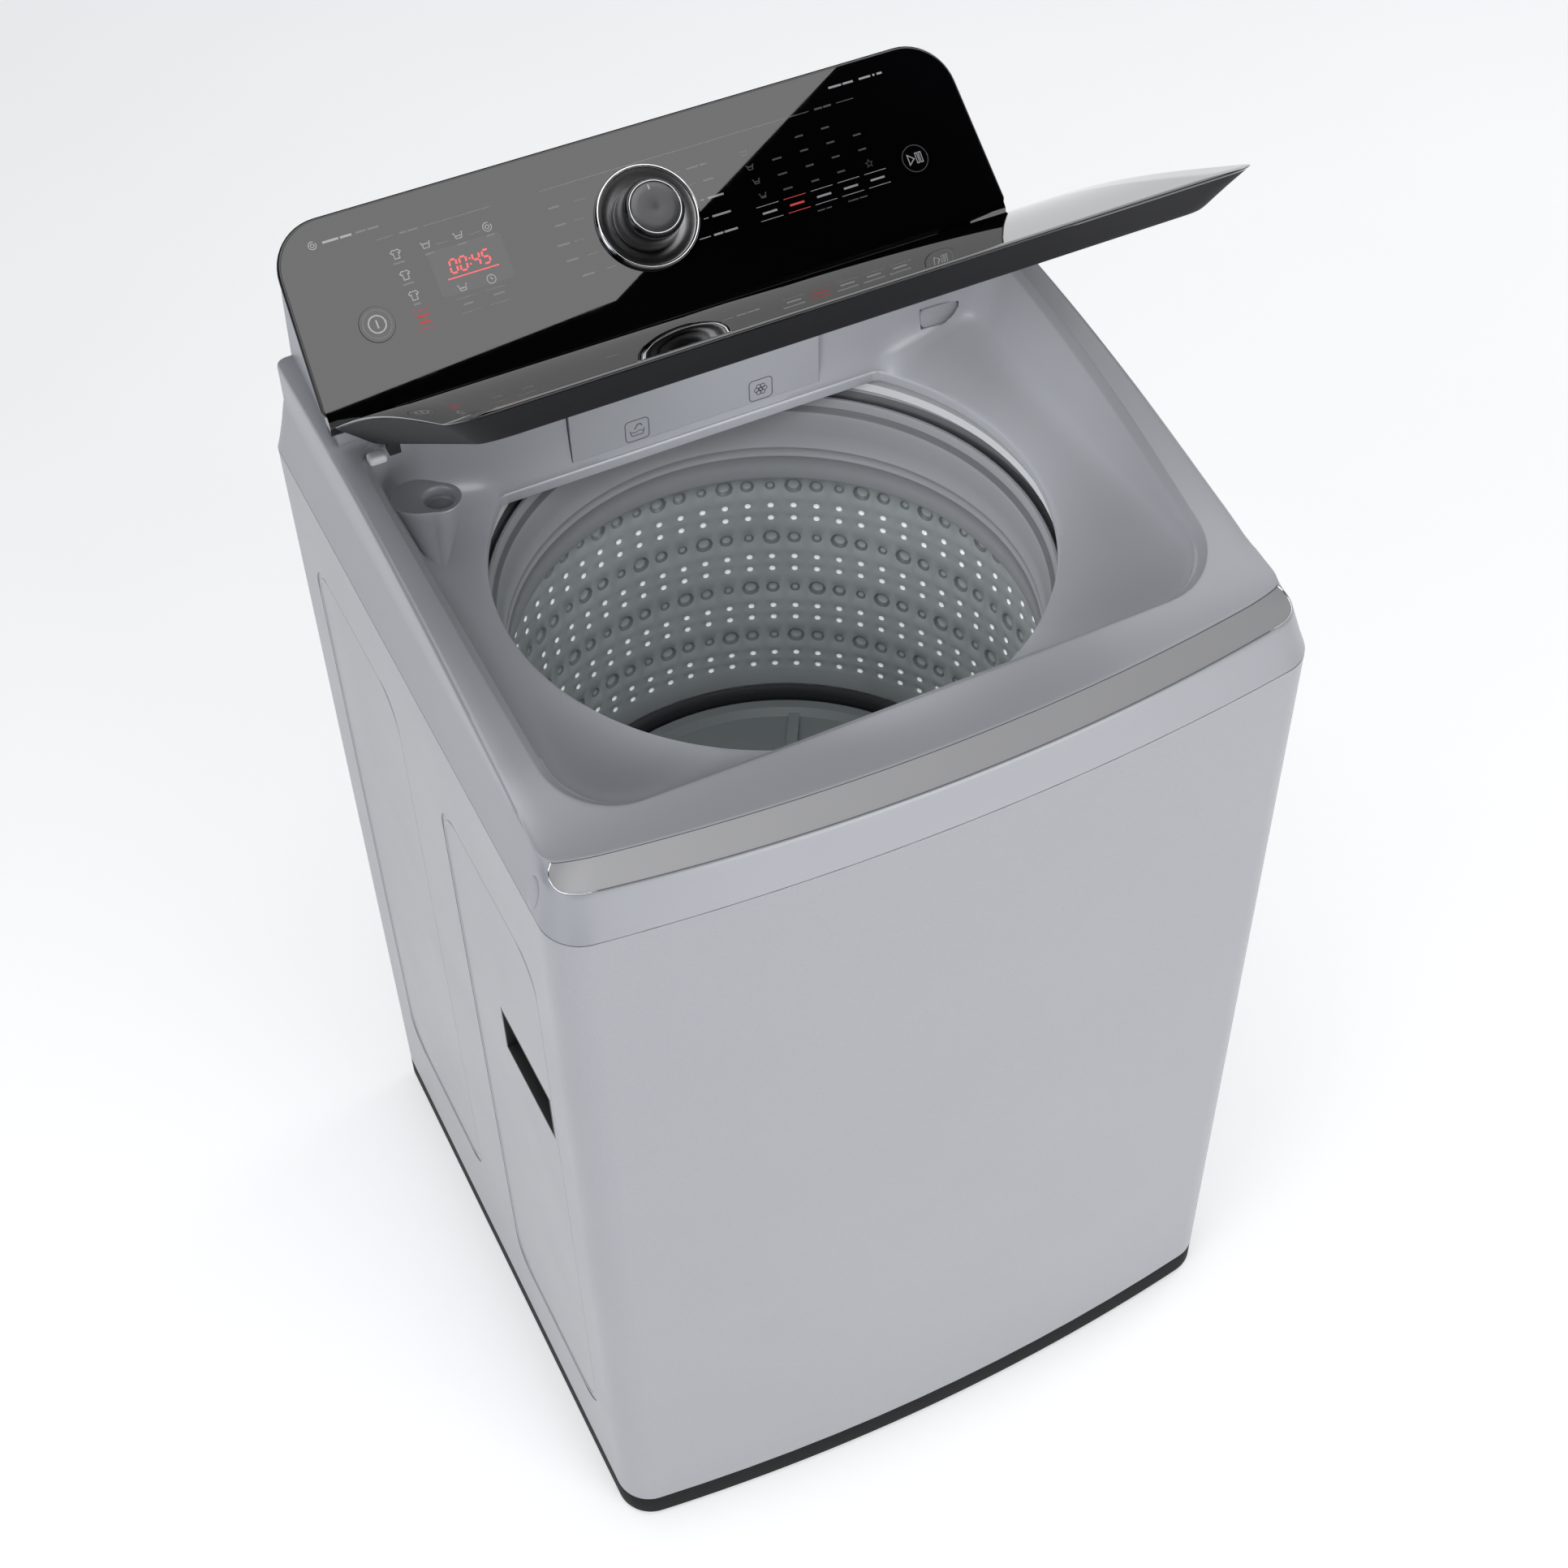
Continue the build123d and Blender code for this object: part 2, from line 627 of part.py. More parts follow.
def dial_knob():
    """The turning dial, a plain round drum with a short shaft."""
    profile = [(0, -16), (DIAL_SHAFT_R, -16), (DIAL_SHAFT_R, -2.5), (KNOB_R + 1.5, -2.5),
               (KNOB_R + 1.5, 2), (KNOB_R, 4), (KNOB_R - 0.8, KNOB_TOP - 3),
               (KNOB_R - 3, KNOB_TOP), (0, KNOB_TOP)]
    knob = revolve(make_face(Polyline([(r, 0, z) for r, z in profile], close=True)), Axis.Z, 360)
    knob -= Pos(0, KNOB_R - 4, KNOB_TOP) * Cylinder(1.2, 1.2)
    return facia_plane() * Pos(0, DIAL_S) * knob


def console_button(side):
    """A round push button with its guide stem."""
    cap = Pos(0, 0, -3.4) * Cylinder(BUTTON_R, 8)
    stem = Pos(0, 0, -11) * Cylinder(4, 8)
    return facia_plane() * Pos(side * BUTTON_X, BUTTON_S) * (cap + stem)


def console_housing():
    """The silver shell behind the facia, open below."""
    tilt = math.radians(FACIA_TILT)
    under_y, under_z = facia_under()
    top_y = under_y + (FACIA_LENGTH - 6) * math.cos(tilt)
    top_z = under_z + (FACIA_LENGTH - 6) * math.sin(tilt)
    outer = side_profile([(141.5, LEDGE_Z), (141.5, 843), (147, 843), (under_y, under_z),
                          (top_y, top_z), (244, top_z - 3), (247, top_z - 10), (247, LEDGE_Z)],
                         HOUSING_X)
    inner = side_profile([(144.5, LEDGE_Z - 1), (144.5, 840.5), (149, 840.5),
                          (under_y + 2, under_z - 4), (top_y - 2, top_z - 5), (240, top_z - 7),
                          (244, top_z - 12), (244, LEDGE_Z - 1)], HOUSING_X)
    shell = outer & facia_plane(-200) * extrude(facia_outline(4, -150), 260)
    shell -= inner & facia_plane(-200) * extrude(facia_outline(7, -150), 260)
    return shell - facia_plane(-FACIA_T) * Pos(0, FACIA_LENGTH / 2) * Box(440, 84, 40)


def control_board():
    """The circuit board behind the facia."""
    board = facia_plane(-24) * Pos(0, FACIA_LENGTH / 2 - 3) * Box(430, 70, 1.6)
    display = facia_plane(-16.4) * Pos(DISPLAY_X, DISPLAY_S) * Box(44, 24, 13.6)
    return board + display


# ------------------------------------------------------------------ dispenser


def drawer_mouth():
    """The hole that the drawer's front fills."""
    return block(DRAWER_X0 - DRAWER_GAP, DRAWER_X1 + DRAWER_GAP, 120, 145,
                 DRAWER_Z0 - DRAWER_GAP, DRAWER_Z1 + DRAWER_GAP)


def dispenser_housing():
    """The open-fronted box that the drawer slides in."""
    y0 = LIP_BACK + SKIN + 0.2
    y1 = y0 + DRAWER_DEPTH + 4
    outer = block(DRAWER_X0 - 3, DRAWER_X1 + 3, y0, y1, DRAWER_Z0 - 4, DRAWER_Z1 + 4)
    inner = block(DRAWER_X0 - DRAWER_GAP, DRAWER_X1 + DRAWER_GAP, y0 - 5, y1 - 2.5,
                  DRAWER_Z0 - DRAWER_GAP, DRAWER_Z1 + DRAWER_GAP)
    return outer - inner


def drawer_tray():
    """Two open compartments, one for powder and one for softener."""
    y0 = LIP_BACK - 3.0
    y1 = y0 + DRAWER_DEPTH
    x0 = DRAWER_X0 + 2
    x1 = DRAWER_X1 - 2
    wall = (x0 + x1) / 2 + 14
    tray = block(x0, x1, y0, y1, DRAWER_Z0 + 1, DRAWER_Z1 - 8)
    tray -= block(x0 + 2, wall - 1, y0 + 2, y1 - 2, DRAWER_Z0 + 3, 900)
    tray -= block(wall + 1, x1 - 2, y0 + 2, y1 - 2, DRAWER_Z0 + 3, 900)
    return tray


def drawer_front():
    """The drawer's face, flush with the recess's back wall."""
    y1 = LIP_BACK - 3.0
    return block(DRAWER_X0, DRAWER_X1, y1 - 3, y1, DRAWER_Z0, DRAWER_Z1)


# ------------------------------------------------------------------ lid
def lid_outline(inset):
    """The lid's plan on its own plane."""
    return tray_plan(LID_TOP_X - inset, inset, LID_LENGTH - inset, 22 - min(inset, 12), 8)


def lid_body(drop):
    """The lid's frame as a solid tray whose sides lean in towards the recess."""
    top = Pos(0, 0, -drop) * tray_plan(LID_TOP_X - drop * 0.6, drop, LID_LENGTH - drop, 22, 8)
    low = Pos(0, 0, -LID_DEPTH) * tray_plan(LID_LOW_X - drop * 0.6, 32 + drop, LID_LENGTH - 9 - drop,
                                            20, 8)
    return loft([low, top])


def lid_frame():
    """The lid's black frame: a hollow rim with an open middle under the glass."""
    pivot_v, pivot_w = lid_pivot_local()
    frame = lid_body(0)
    hollow = lid_body(2.5) & block(-300, 300, 0, 400, -40, -6.5)
    hollow += Pos(0, 0, -LID_DEPTH - 10) * extrude(tray_plan(LID_LOW_X - 2.5, 34.5,
                                                            LID_LENGTH - 12, 18, 6), 10.5)
    frame -= hollow
    frame -= Pos(0, 0, -20) * extrude(tray_plan(192, 56, 300, 24, 24), 30)
    frame -= Pos(0, 0, -LID_GLASS_T) * extrude(lid_outline(3), 20)
    for side in (-1, 1):
        for end in (-1, 1):
            x = side * HINGE_X + end * (HINGE_W / 2 + 0.3 + 3.5)
            ear = block(x - 3.5, x + 3.5, pivot_v - 8, pivot_v + 4.6, pivot_w - 5, -LID_GLASS_T)
            frame += ear
        x0 = side * HINGE_X - HINGE_W / 2 - 0.3
        frame -= block(x0, x0 + HINGE_W + 0.6, pivot_v - 9, LID_LENGTH + 9, -30, -LID_GLASS_T)
        bore = Pos(side * HINGE_X, pivot_v, pivot_w) * Rot(0, 90, 0) * Cylinder(PIN_R + RUN_FIT, 40)
        frame -= bore
    return opened(lid_plane() * frame)


def lid_glass():
    """The dark glass panel set into the lid's frame."""
    glass = Pos(0, 0, -LID_GLASS_T) * extrude(lid_outline(3), LID_GLASS_T)
    return opened(lid_plane() * glass)


def hinge_bracket(side):
    """A fixed arm from the recess's back wall, with the pin that the lid turns on."""
    x0 = side * HINGE_X - HINGE_W / 2
    x1 = side * HINGE_X + HINGE_W / 2
    arm = block(x0, x1, PIVOT_Y - 4, PIVOT_Y + 4, 829, PIVOT_Z)
    arm += Pos(side * HINGE_X, PIVOT_Y, PIVOT_Z) * Rot(0, 90, 0) * Cylinder(4.8, HINGE_W)
    arm += block(x0, x1, PIVOT_Y - 4, 141.4, 834.2, 837.4)
    pin = Pos(side * HINGE_X, PIVOT_Y, PIVOT_Z) * Rot(0, 90, 0) * Cylinder(PIN_R, HINGE_W + 14)
    return arm + pin


# ------------------------------------------------------------------ tub and drum
def outer_tub():
    """The fixed water tub, with four lugs for the suspension and a hub for the bearings."""
    low = TUB_LOW
    tub = turned([(HUB_R, low - 14), (44, low - 14), (48, low), (TUB_R - 6, low),
                  (TUB_R + TUB_WALL, low + 8), (TUB_R + TUB_WALL, TUB_TOP),
                  (TUB_R, TUB_TOP), (TUB_R, low + 9), (TUB_R - 7, low + 4), (HUB_R, low + 4)])
    for x, y in rod_places():
        tub += lug(x, y)
    for x, y in rod_places():
        tub -= rod(x, y, 300, 700, LUG_HOLE_R)
    return tub


def rod_places():
    return [(sx * ROD_X, TUB_Y + sy * ROD_DY) for sy in (-1, 1) for sx in (-1, 1)]


def lug(x, y):
    """One suspension lug: an arm from the tub's wall to a round seat."""
    angle = math.degrees(math.atan2(y - TUB_Y, x))
    reach = math.hypot(x, y - TUB_Y)
    arm = Pos((TUB_R + 1 + reach) / 2, 0, LUG_Z + LUG_T / 2) * Box(reach - TUB_R - 1, 26, LUG_T)
    web = Pos((TUB_R + 1 + reach - 20) / 2, 0, LUG_Z + LUG_T + 14) * Box(reach - TUB_R - 21, 4, 30)
    seat = rod(reach, 0, LUG_Z, LUG_Z + LUG_T, 15)
    return Pos(0, TUB_Y, 0) * Rot(0, 0, angle) * (arm + web + seat)


def tub_cover():
    """The ring that closes the tub's top edge."""
    return turned([(199, TUB_TOP + 2), (204, TUB_TOP), (TUB_R + 5, TUB_TOP), (TUB_R + 5, TUB_TOP + 4),
                   (206, TUB_TOP + 9), (199, TUB_TOP + 9)])


def tub_bearing():
    """The bearing and seal in the tub's hub."""
    return turned([(TUBE_R + RUN_FIT, TUB_LOW - 14), (HUB_R, TUB_LOW - 14), (HUB_R, TUB_LOW + 10),
                   (TUBE_R + RUN_FIT, TUB_LOW + 10)])


def balance_ring():
    """The weighted ring around the drum's mouth."""
    return turned([(RING_R_LOW, RING_LOW), (DRUM_R, RING_LOW), (DRUM_R, RING_LOW + WALL_LAP),
                   (DRUM_R + DRUM_T, RING_LOW + WALL_LAP), (DRUM_R + DRUM_T, RING_LOW),
                   (RING_R_OUT, RING_LOW + 6), (RING_R_OUT, RING_TOP - 4), (RING_R_OUT - 4, RING_TOP),
                   (RING_R_TOP + 6, RING_TOP), (RING_R_TOP, RING_TOP - 10),
                   (RING_R_TOP - 2, RING_LOW + 50)])


def drum_wall():
    """The perforated steel drum, kept plain here."""
    return turned([(DRUM_R, DRUM_LOW), (DRUM_R + DRUM_T, DRUM_LOW),
                   (DRUM_R + DRUM_T, RING_LOW + WALL_LAP), (DRUM_R, RING_LOW + WALL_LAP)])


def drum_base():
    """The drum's floor, with the hollow shaft that turns in the tub's bearing."""
    bore = SHAFT_R + RUN_FIT
    return turned([(bore, 296), (TUBE_R, 296), (TUBE_R, 372), (60, 372), (DRUM_R - 6, 376),
                   (DRUM_R, 378), (DRUM_R, DRUM_LOW + 6), (DRUM_R - 4, DRUM_LOW + 6),
                   (DRUM_R - 8, DRUM_LOW - 1), (60, DRUM_LOW - 3), (bore, DRUM_LOW - 3)])


def pulsator():
    """The finned plate at the drum's floor: a dark rim, a shallow dish and swept ribs."""
    z = PULSATOR_Z
    plate = turned([(SHAFT_R, z - 8), (40, z - 8), (44, z - 2), (PULSATOR_R - 4, z - 2),
                    (PULSATOR_R, z + 2), (PULSATOR_R - 4, z + 8), (PULSATOR_R - 12, z + 8),
                    (PULSATOR_R - 18, z + 3), (60, z + 3), (36, z + 8), (SHAFT_R, z + 8)])
    for i in range(6):
        fin = Pos(106, 0, z + 8) * Box(118, 9, 16)
        plate += Pos(0, TUB_Y, 0) * Rot(0, 0, 60 * i) * fin
    return plate


def pulsator_cap():
    """The round cap over the pulsator's screw."""
    z = PULSATOR_Z + 8
    return turned([(0, z), (24, z), (24, z + 4), (18, z + 9), (0, z + 11)])


def drive_shaft():
    """The inner shaft from the belt pulley up to the pulsator."""
    return rod(0, TUB_Y, PULLEY_LOW - 6, PULSATOR_Z + 8, SHAFT_R)


def pulley(x, radius, bore):
    """A flanged belt pulley."""
    low = PULLEY_LOW
    top = PULLEY_LOW + PULLEY_T
    rim = radius + BELT_GAP + BELT_T
    return turned([(bore, low), (rim, low), (rim, low + 2.5), (radius, low + 2.5),
                   (radius, top - 2.5), (rim, top - 2.5), (rim, top), (bore, top)], x)


def drum_pulley():
    return pulley(0, BIG_PULLEY_R, SHAFT_R)


def motor_pulley():
    """The motor's pulley and its shaft stub."""
    wheel = pulley(MOTOR_X, MOTOR_PULLEY_R, 6)
    return wheel + rod(MOTOR_X, TUB_Y, PULLEY_LOW - 3, 288, 6)


def belt_outline(grow):
    """The area inside a belt that wraps both pulleys."""
    big = BIG_PULLEY_R + grow
    small = MOTOR_PULLEY_R + grow
    lean = math.acos((BIG_PULLEY_R - MOTOR_PULLEY_R) / MOTOR_X)
    ends = [(math.cos(lean), math.sin(lean)), (math.cos(lean), -math.sin(lean))]
    points = [
        (big * ends[0][0], big * ends[0][1]),
        (MOTOR_X + small * ends[0][0], small * ends[0][1]),
        (MOTOR_X + small * ends[1][0], small * ends[1][1]),
        (big * ends[1][0], big * ends[1][1]),
    ]
    middle = make_face(Polyline(points, close=True))
    return middle + Circle(big) + Pos(MOTOR_X, 0) * Circle(small)


def drive_belt():
    """The flat belt between the motor and the drive shaft."""
    loop = belt_outline(BELT_GAP + 3.2) - belt_outline(BELT_GAP)
    return Pos(0, TUB_Y, PULLEY_LOW + 3) * extrude(loop, PULLEY_T - 6)


def clutch_housing():
    """The round housing of the clutch under the tub."""
    return turned([(TUBE_R + RUN_FIT, 300), (60, 300), (72, 308), (72, 322), (44, 328),
                   (44, TUB_LOW - 14), (TUBE_R + RUN_FIT, TUB_LOW - 14)])


def support_plate():
    """The steel plate that carries the motor under the tub."""
    plate = Pos(40, TUB_Y, TUB_LOW - 10) * Box(330, 130, 3)
    plate -= rod(0, TUB_Y, 300, 400, 48)
    for x in (-95, 85, 195):
        plate += rod(x, TUB_Y + 50, TUB_LOW - 10, TUB_LOW, 7)
        plate += rod(x, TUB_Y - 50, TUB_LOW - 10, TUB_LOW, 7)
    return plate


def motor():
    """The drive motor, hung from the support plate."""
    top = TUB_LOW - 11.5
    body = turned([(6 + RUN_FIT, 276), (20, 276), (20, 282), (56, 282), (60, 286), (60, top - 4),
                   (56, top), (6 + RUN_FIT, top)], MOTOR_X)
    return body


# ------------------------------------------------------------------ suspension
def corner_brackets():
    """Four plates in the cabinet's top corners that carry the suspension rods."""
    plates = []
    for x, y in rod_places():
        side = math.copysign(1, x)
        wall = side * (WIDTH / 2 - SHEET)
        plate = block(x - side * 20, wall, y - 22, y + 22, ROD_TOP - 10, ROD_TOP - 7)
        plate += block(wall - side * 3, wall, y - 22, y + 22, ROD_TOP - 50, ROD_TOP - 7)
        plates.append(plate - rod(x, y, 600, 800, ROD_R))
    return Compound(children=plates)


def suspension_rod(x, y):
    """A hanger rod: a round head above its bracket and a spring cup at its foot."""
    head = turned([(0, ROD_TOP - 7), (12, ROD_TOP - 7), (9, ROD_TOP + 1), (0, ROD_TOP + 1)], x, y)
    cup = turned([(0, CUP_Z - 8), (12, CUP_Z - 8), (CUP_R, CUP_Z - 4), (CUP_R, CUP_Z + 6),
                  (CUP_R - 1.5, CUP_Z + 6), (CUP_R - 1.5, CUP_Z), (0, CUP_Z)], x, y)
    return head + cup + rod(x, y, CUP_Z - 4, ROD_TOP - 3, ROD_R)


def suspension_spring(x, y):
    """The spring between a rod's cup and the tub's lug, drawn as a sleeve."""
    return tube(x, y, CUP_Z, LUG_Z, SPRING_R, SPRING_R - SPRING_WIRE)


# ------------------------------------------------------------------ write everything
def main():
    save(cabinet_wrap(), "cabinet_wrap")
    save(rear_panel(), "rear_panel")
    save(rear_screws(), "rear_screws")
    save(base_frame(), "base_frame")
    save(base_cover(), "base_cover")
    save(top_cover(), "top_cover")
    save(trim_band(), "front_trim")
    for side, name in ((-1, "left"), (1, "right")):
        save(side_cap(side), "side_cap_" + name)
        save(grip(side), "grip_" + name)
        save(hinge_bracket(side), "hinge_bracket_" + name)
    save(console_housing(), "console_housing")
    save(console_facia(), "console_facia")
    save(display_window(), "display_window")
    save(control_board(), "control_board")
    save(dial_bezel(), "dial_bezel")
    save(dial_knob(), "dial_knob")
    save(console_button(-1), "power_button")
    save(console_button(1), "start_button")
    save(dispenser_housing(), "dispenser_housing")
    save(drawer_tray(), "drawer_tray")
    save(drawer_front(), "drawer_front")
    save(lid_lock(), "lid_lock")
    save(lid_frame(), "lid_frame")
    save(lid_glass(), "lid_glass")
    save(inlet_valve(), "inlet_valve")
    save(drain_elbow(), "drain_elbow")
    save(cord_gland(), "cord_gland")
    save(drain_pump(), "drain_pump")
    save(corner_brackets(), "corner_brackets")
    for i, (x, y) in enumerate(rod_places()):
        save(suspension_rod(x, y), "suspension_rod_" + str(i + 1))
        save(suspension_spring(x, y), "suspension_spring_" + str(i + 1))
    for i, (x, y) in enumerate(foot_places()):
        save(foot(x, y), "foot_" + str(i + 1))
    save(outer_tub(), "outer_tub")
    save(tub_cover(), "tub_cover")
    save(tub_bearing(), "tub_bearing")
    save(clutch_housing(), "clutch_housing")
    save(support_plate(), "support_plate")
    save(motor(), "motor")
    save(drive_belt(), "drive_belt")
    save(balance_ring(), "balance_ring")
    save(drum_wall(), "drum_wall")
    save(drum_base(), "drum_base")
    save(pulsator(), "pulsator")
    save(pulsator_cap(), "pulsator_cap")
    save(drive_shaft(), "drive_shaft")
    save(drum_pulley(), "drum_pulley")
    save(motor_pulley(), "motor_pulley")


main()
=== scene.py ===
"""Looks for a top load washing machine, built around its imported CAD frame.

The CAD frame is in metres: +X is the machine's right, +Y its back, +Z up. Numbers here are in mm
and become metres times MM, except on the stage, which is in metres throughout.
"""
import json
import math
from contextlib import contextmanager

import bmesh
import bpy
import numpy as np
from mathutils import Matrix, Vector


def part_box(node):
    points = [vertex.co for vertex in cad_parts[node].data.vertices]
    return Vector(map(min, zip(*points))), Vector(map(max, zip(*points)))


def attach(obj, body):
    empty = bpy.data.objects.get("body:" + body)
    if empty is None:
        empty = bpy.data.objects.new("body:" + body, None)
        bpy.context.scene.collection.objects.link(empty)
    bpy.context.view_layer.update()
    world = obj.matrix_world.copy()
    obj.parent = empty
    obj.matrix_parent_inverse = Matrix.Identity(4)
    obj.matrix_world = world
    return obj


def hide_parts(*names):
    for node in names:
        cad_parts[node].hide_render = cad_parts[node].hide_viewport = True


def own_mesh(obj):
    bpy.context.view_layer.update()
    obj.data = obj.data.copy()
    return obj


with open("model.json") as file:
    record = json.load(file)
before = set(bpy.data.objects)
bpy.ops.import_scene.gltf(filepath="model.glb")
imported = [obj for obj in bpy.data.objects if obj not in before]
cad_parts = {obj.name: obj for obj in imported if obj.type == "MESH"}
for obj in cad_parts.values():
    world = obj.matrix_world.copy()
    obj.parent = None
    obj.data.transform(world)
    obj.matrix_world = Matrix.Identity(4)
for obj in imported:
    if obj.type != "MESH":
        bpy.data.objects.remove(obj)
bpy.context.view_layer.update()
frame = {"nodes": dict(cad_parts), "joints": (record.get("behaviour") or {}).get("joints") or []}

MM = 0.001
WELD = 0.02 * MM
SIDES = ((-1, "left"), (1, "right"))
NODES = frame["nodes"]
JOINTS = {joint["name"]: joint for joint in frame["joints"]}


# ------------------------------------------------------------------ materials
def preset(node, **values):
    """Set a node's own inputs; an underscore stands for a space in an input's name."""
    for key, value in values.items():
        node.inputs[key.replace("_", " ")].default_value = value


def new_material(name):
    """A new material, its node tree and its principled shader."""
    made = bpy.data.materials.new(name)
    made.use_nodes = True
    return made, made.node_tree, made.node_tree.nodes["Principled BSDF"]


def noise(tree, scale, detail=3.0, stretch=(1, 1, 1)):
    """A noise texture in object space, optionally stretched."""
    place = tree.nodes.new("ShaderNodeTexCoord")
    mapping = tree.nodes.new("ShaderNodeMapping")
    texture = tree.nodes.new("ShaderNodeTexNoise")
    preset(mapping, Scale=stretch)
    preset(texture, Scale=scale, Detail=detail)
    tree.links.new(place.outputs["Object"], mapping.inputs["Vector"])
    tree.links.new(mapping.outputs["Vector"], texture.inputs["Vector"])
    return texture.outputs["Fac"]


def spread(tree, value, low, high):
    """Map a noise value around one half to a range."""
    node = tree.nodes.new("ShaderNodeMapRange")
    preset(node, From_Min=0.3, From_Max=0.7, To_Min=low, To_Max=high)
    tree.links.new(value, node.inputs["Value"])
    return node.outputs["Result"]


def coloured(tree, shader, factor, low, high):
    """Blend a shader's base colour between two, by a factor from 0 to 1."""
    node = tree.nodes.new("ShaderNodeMix")
    node.data_type = "RGBA"
    preset(node, A=(*low, 1), B=(*high, 1))
    tree.links.new(factor, node.inputs["Factor"])
    tree.links.new(node.outputs["Result"], shader.inputs["Base Color"])


def mottled(tree, shader, scale, low, high):
    """Vary a shader's base colour slowly between two."""
    coloured(tree, shader, spread(tree, noise(tree, scale), 0, 1), low, high)


def roughened(tree, shader, value, middle, swing):
    """Vary a shader's roughness around a middle value."""
    rough = spread(tree, value, middle - swing, middle + swing)
    tree.links.new(rough, shader.inputs["Roughness"])


def bumped(tree, shader, height, strength, depth):
    """Bump a shader's normal by a height, with its depth in mm."""
    bump = tree.nodes.new("ShaderNodeBump")
    preset(bump, Strength=strength, Distance=depth * MM)
    tree.links.new(height, bump.inputs["Height"])
    tree.links.new(bump.outputs["Normal"], shader.inputs["Normal"])


def scaled(colour, factor):
    """A colour made lighter or darker."""
    return tuple(min(1.0, channel * factor) for channel in colour)


def surface(name, colour, roughness, metallic=0.0, specular=0.5, coat=0.0, mottle=0.04,
            rough_swing=0.04, grain=1800, depth=0.02, stretch=(1, 1, 1), slow=7.0, ior=1.5):
    """A moulded, painted or metal finish with fine grain and slow variation."""
    made, tree, shader = new_material(name)
    fine = noise(tree, grain, 2.0, stretch)
    mottled(tree, shader, slow, scaled(colour, 1 - mottle), scaled(colour, 1 + mottle))
    roughened(tree, shader, fine, roughness, rough_swing)
    preset(shader, Metallic=metallic, Specular_IOR_Level=specular, IOR=ior, Coat_Weight=coat,
           Coat_Roughness=0.08)
    bumped(tree, shader, fine, 0.5, depth)
    return made


def silver_paint(name, colour, roughness):
    """Satin silver lacquer: a metal flake under a soft clear coat."""
    made, tree, shader = new_material(name)
    place = tree.nodes.new("ShaderNodeTexCoord")
    flake = tree.nodes.new("ShaderNodeTexVoronoi")
    preset(flake, Scale=2600)
    tree.links.new(place.outputs["Object"], flake.inputs["Vector"])
    glint = tree.nodes.new("ShaderNodeSeparateColor")
    tree.links.new(flake.outputs["Color"], glint.inputs["Color"])
    coloured(tree, shader, glint.outputs["Red"], scaled(colour, 0.94), scaled(colour, 1.06))
    roughened(tree, shader, noise(tree, 9.0), roughness, 0.03)
    preset(shader, Metallic=0.35, Coat_Weight=0.25, Coat_Roughness=0.3)
    bumped(tree, shader, noise(tree, 420, 4.0), 0.25, 0.03)
    return made


def painted_glow(name, colour, strength):
    """A pale surface that glows by itself: painted light standing in for brightness seen through
    from behind.
    """
    made, tree, shader = new_material(name)
    mottled(tree, shader, 60, scaled(colour, 0.95), colour)
    preset(shader, Roughness=0.3, Emission_Color=(*colour, 1), Emission_Strength=strength)
    return made


def glowing(name, colour, strength):
    """A lit display segment."""
    made, tree, shader = new_material(name)
    preset(shader, Base_Color=(*scaled(colour, 0.3), 1), Emission_Color=(*colour, 1))
    shade = spread(tree, noise(tree, 900), strength * 0.9, strength * 1.1)
    tree.links.new(shade, shader.inputs["Emission Strength"])
    return made


SILVER = (0.38, 0.387, 0.414)
COVER = (0.39, 0.397, 0.427)
GLASSY = {"grain": 60, "depth": 0.001, "rough_swing": 0.004, "ior": 1.9}

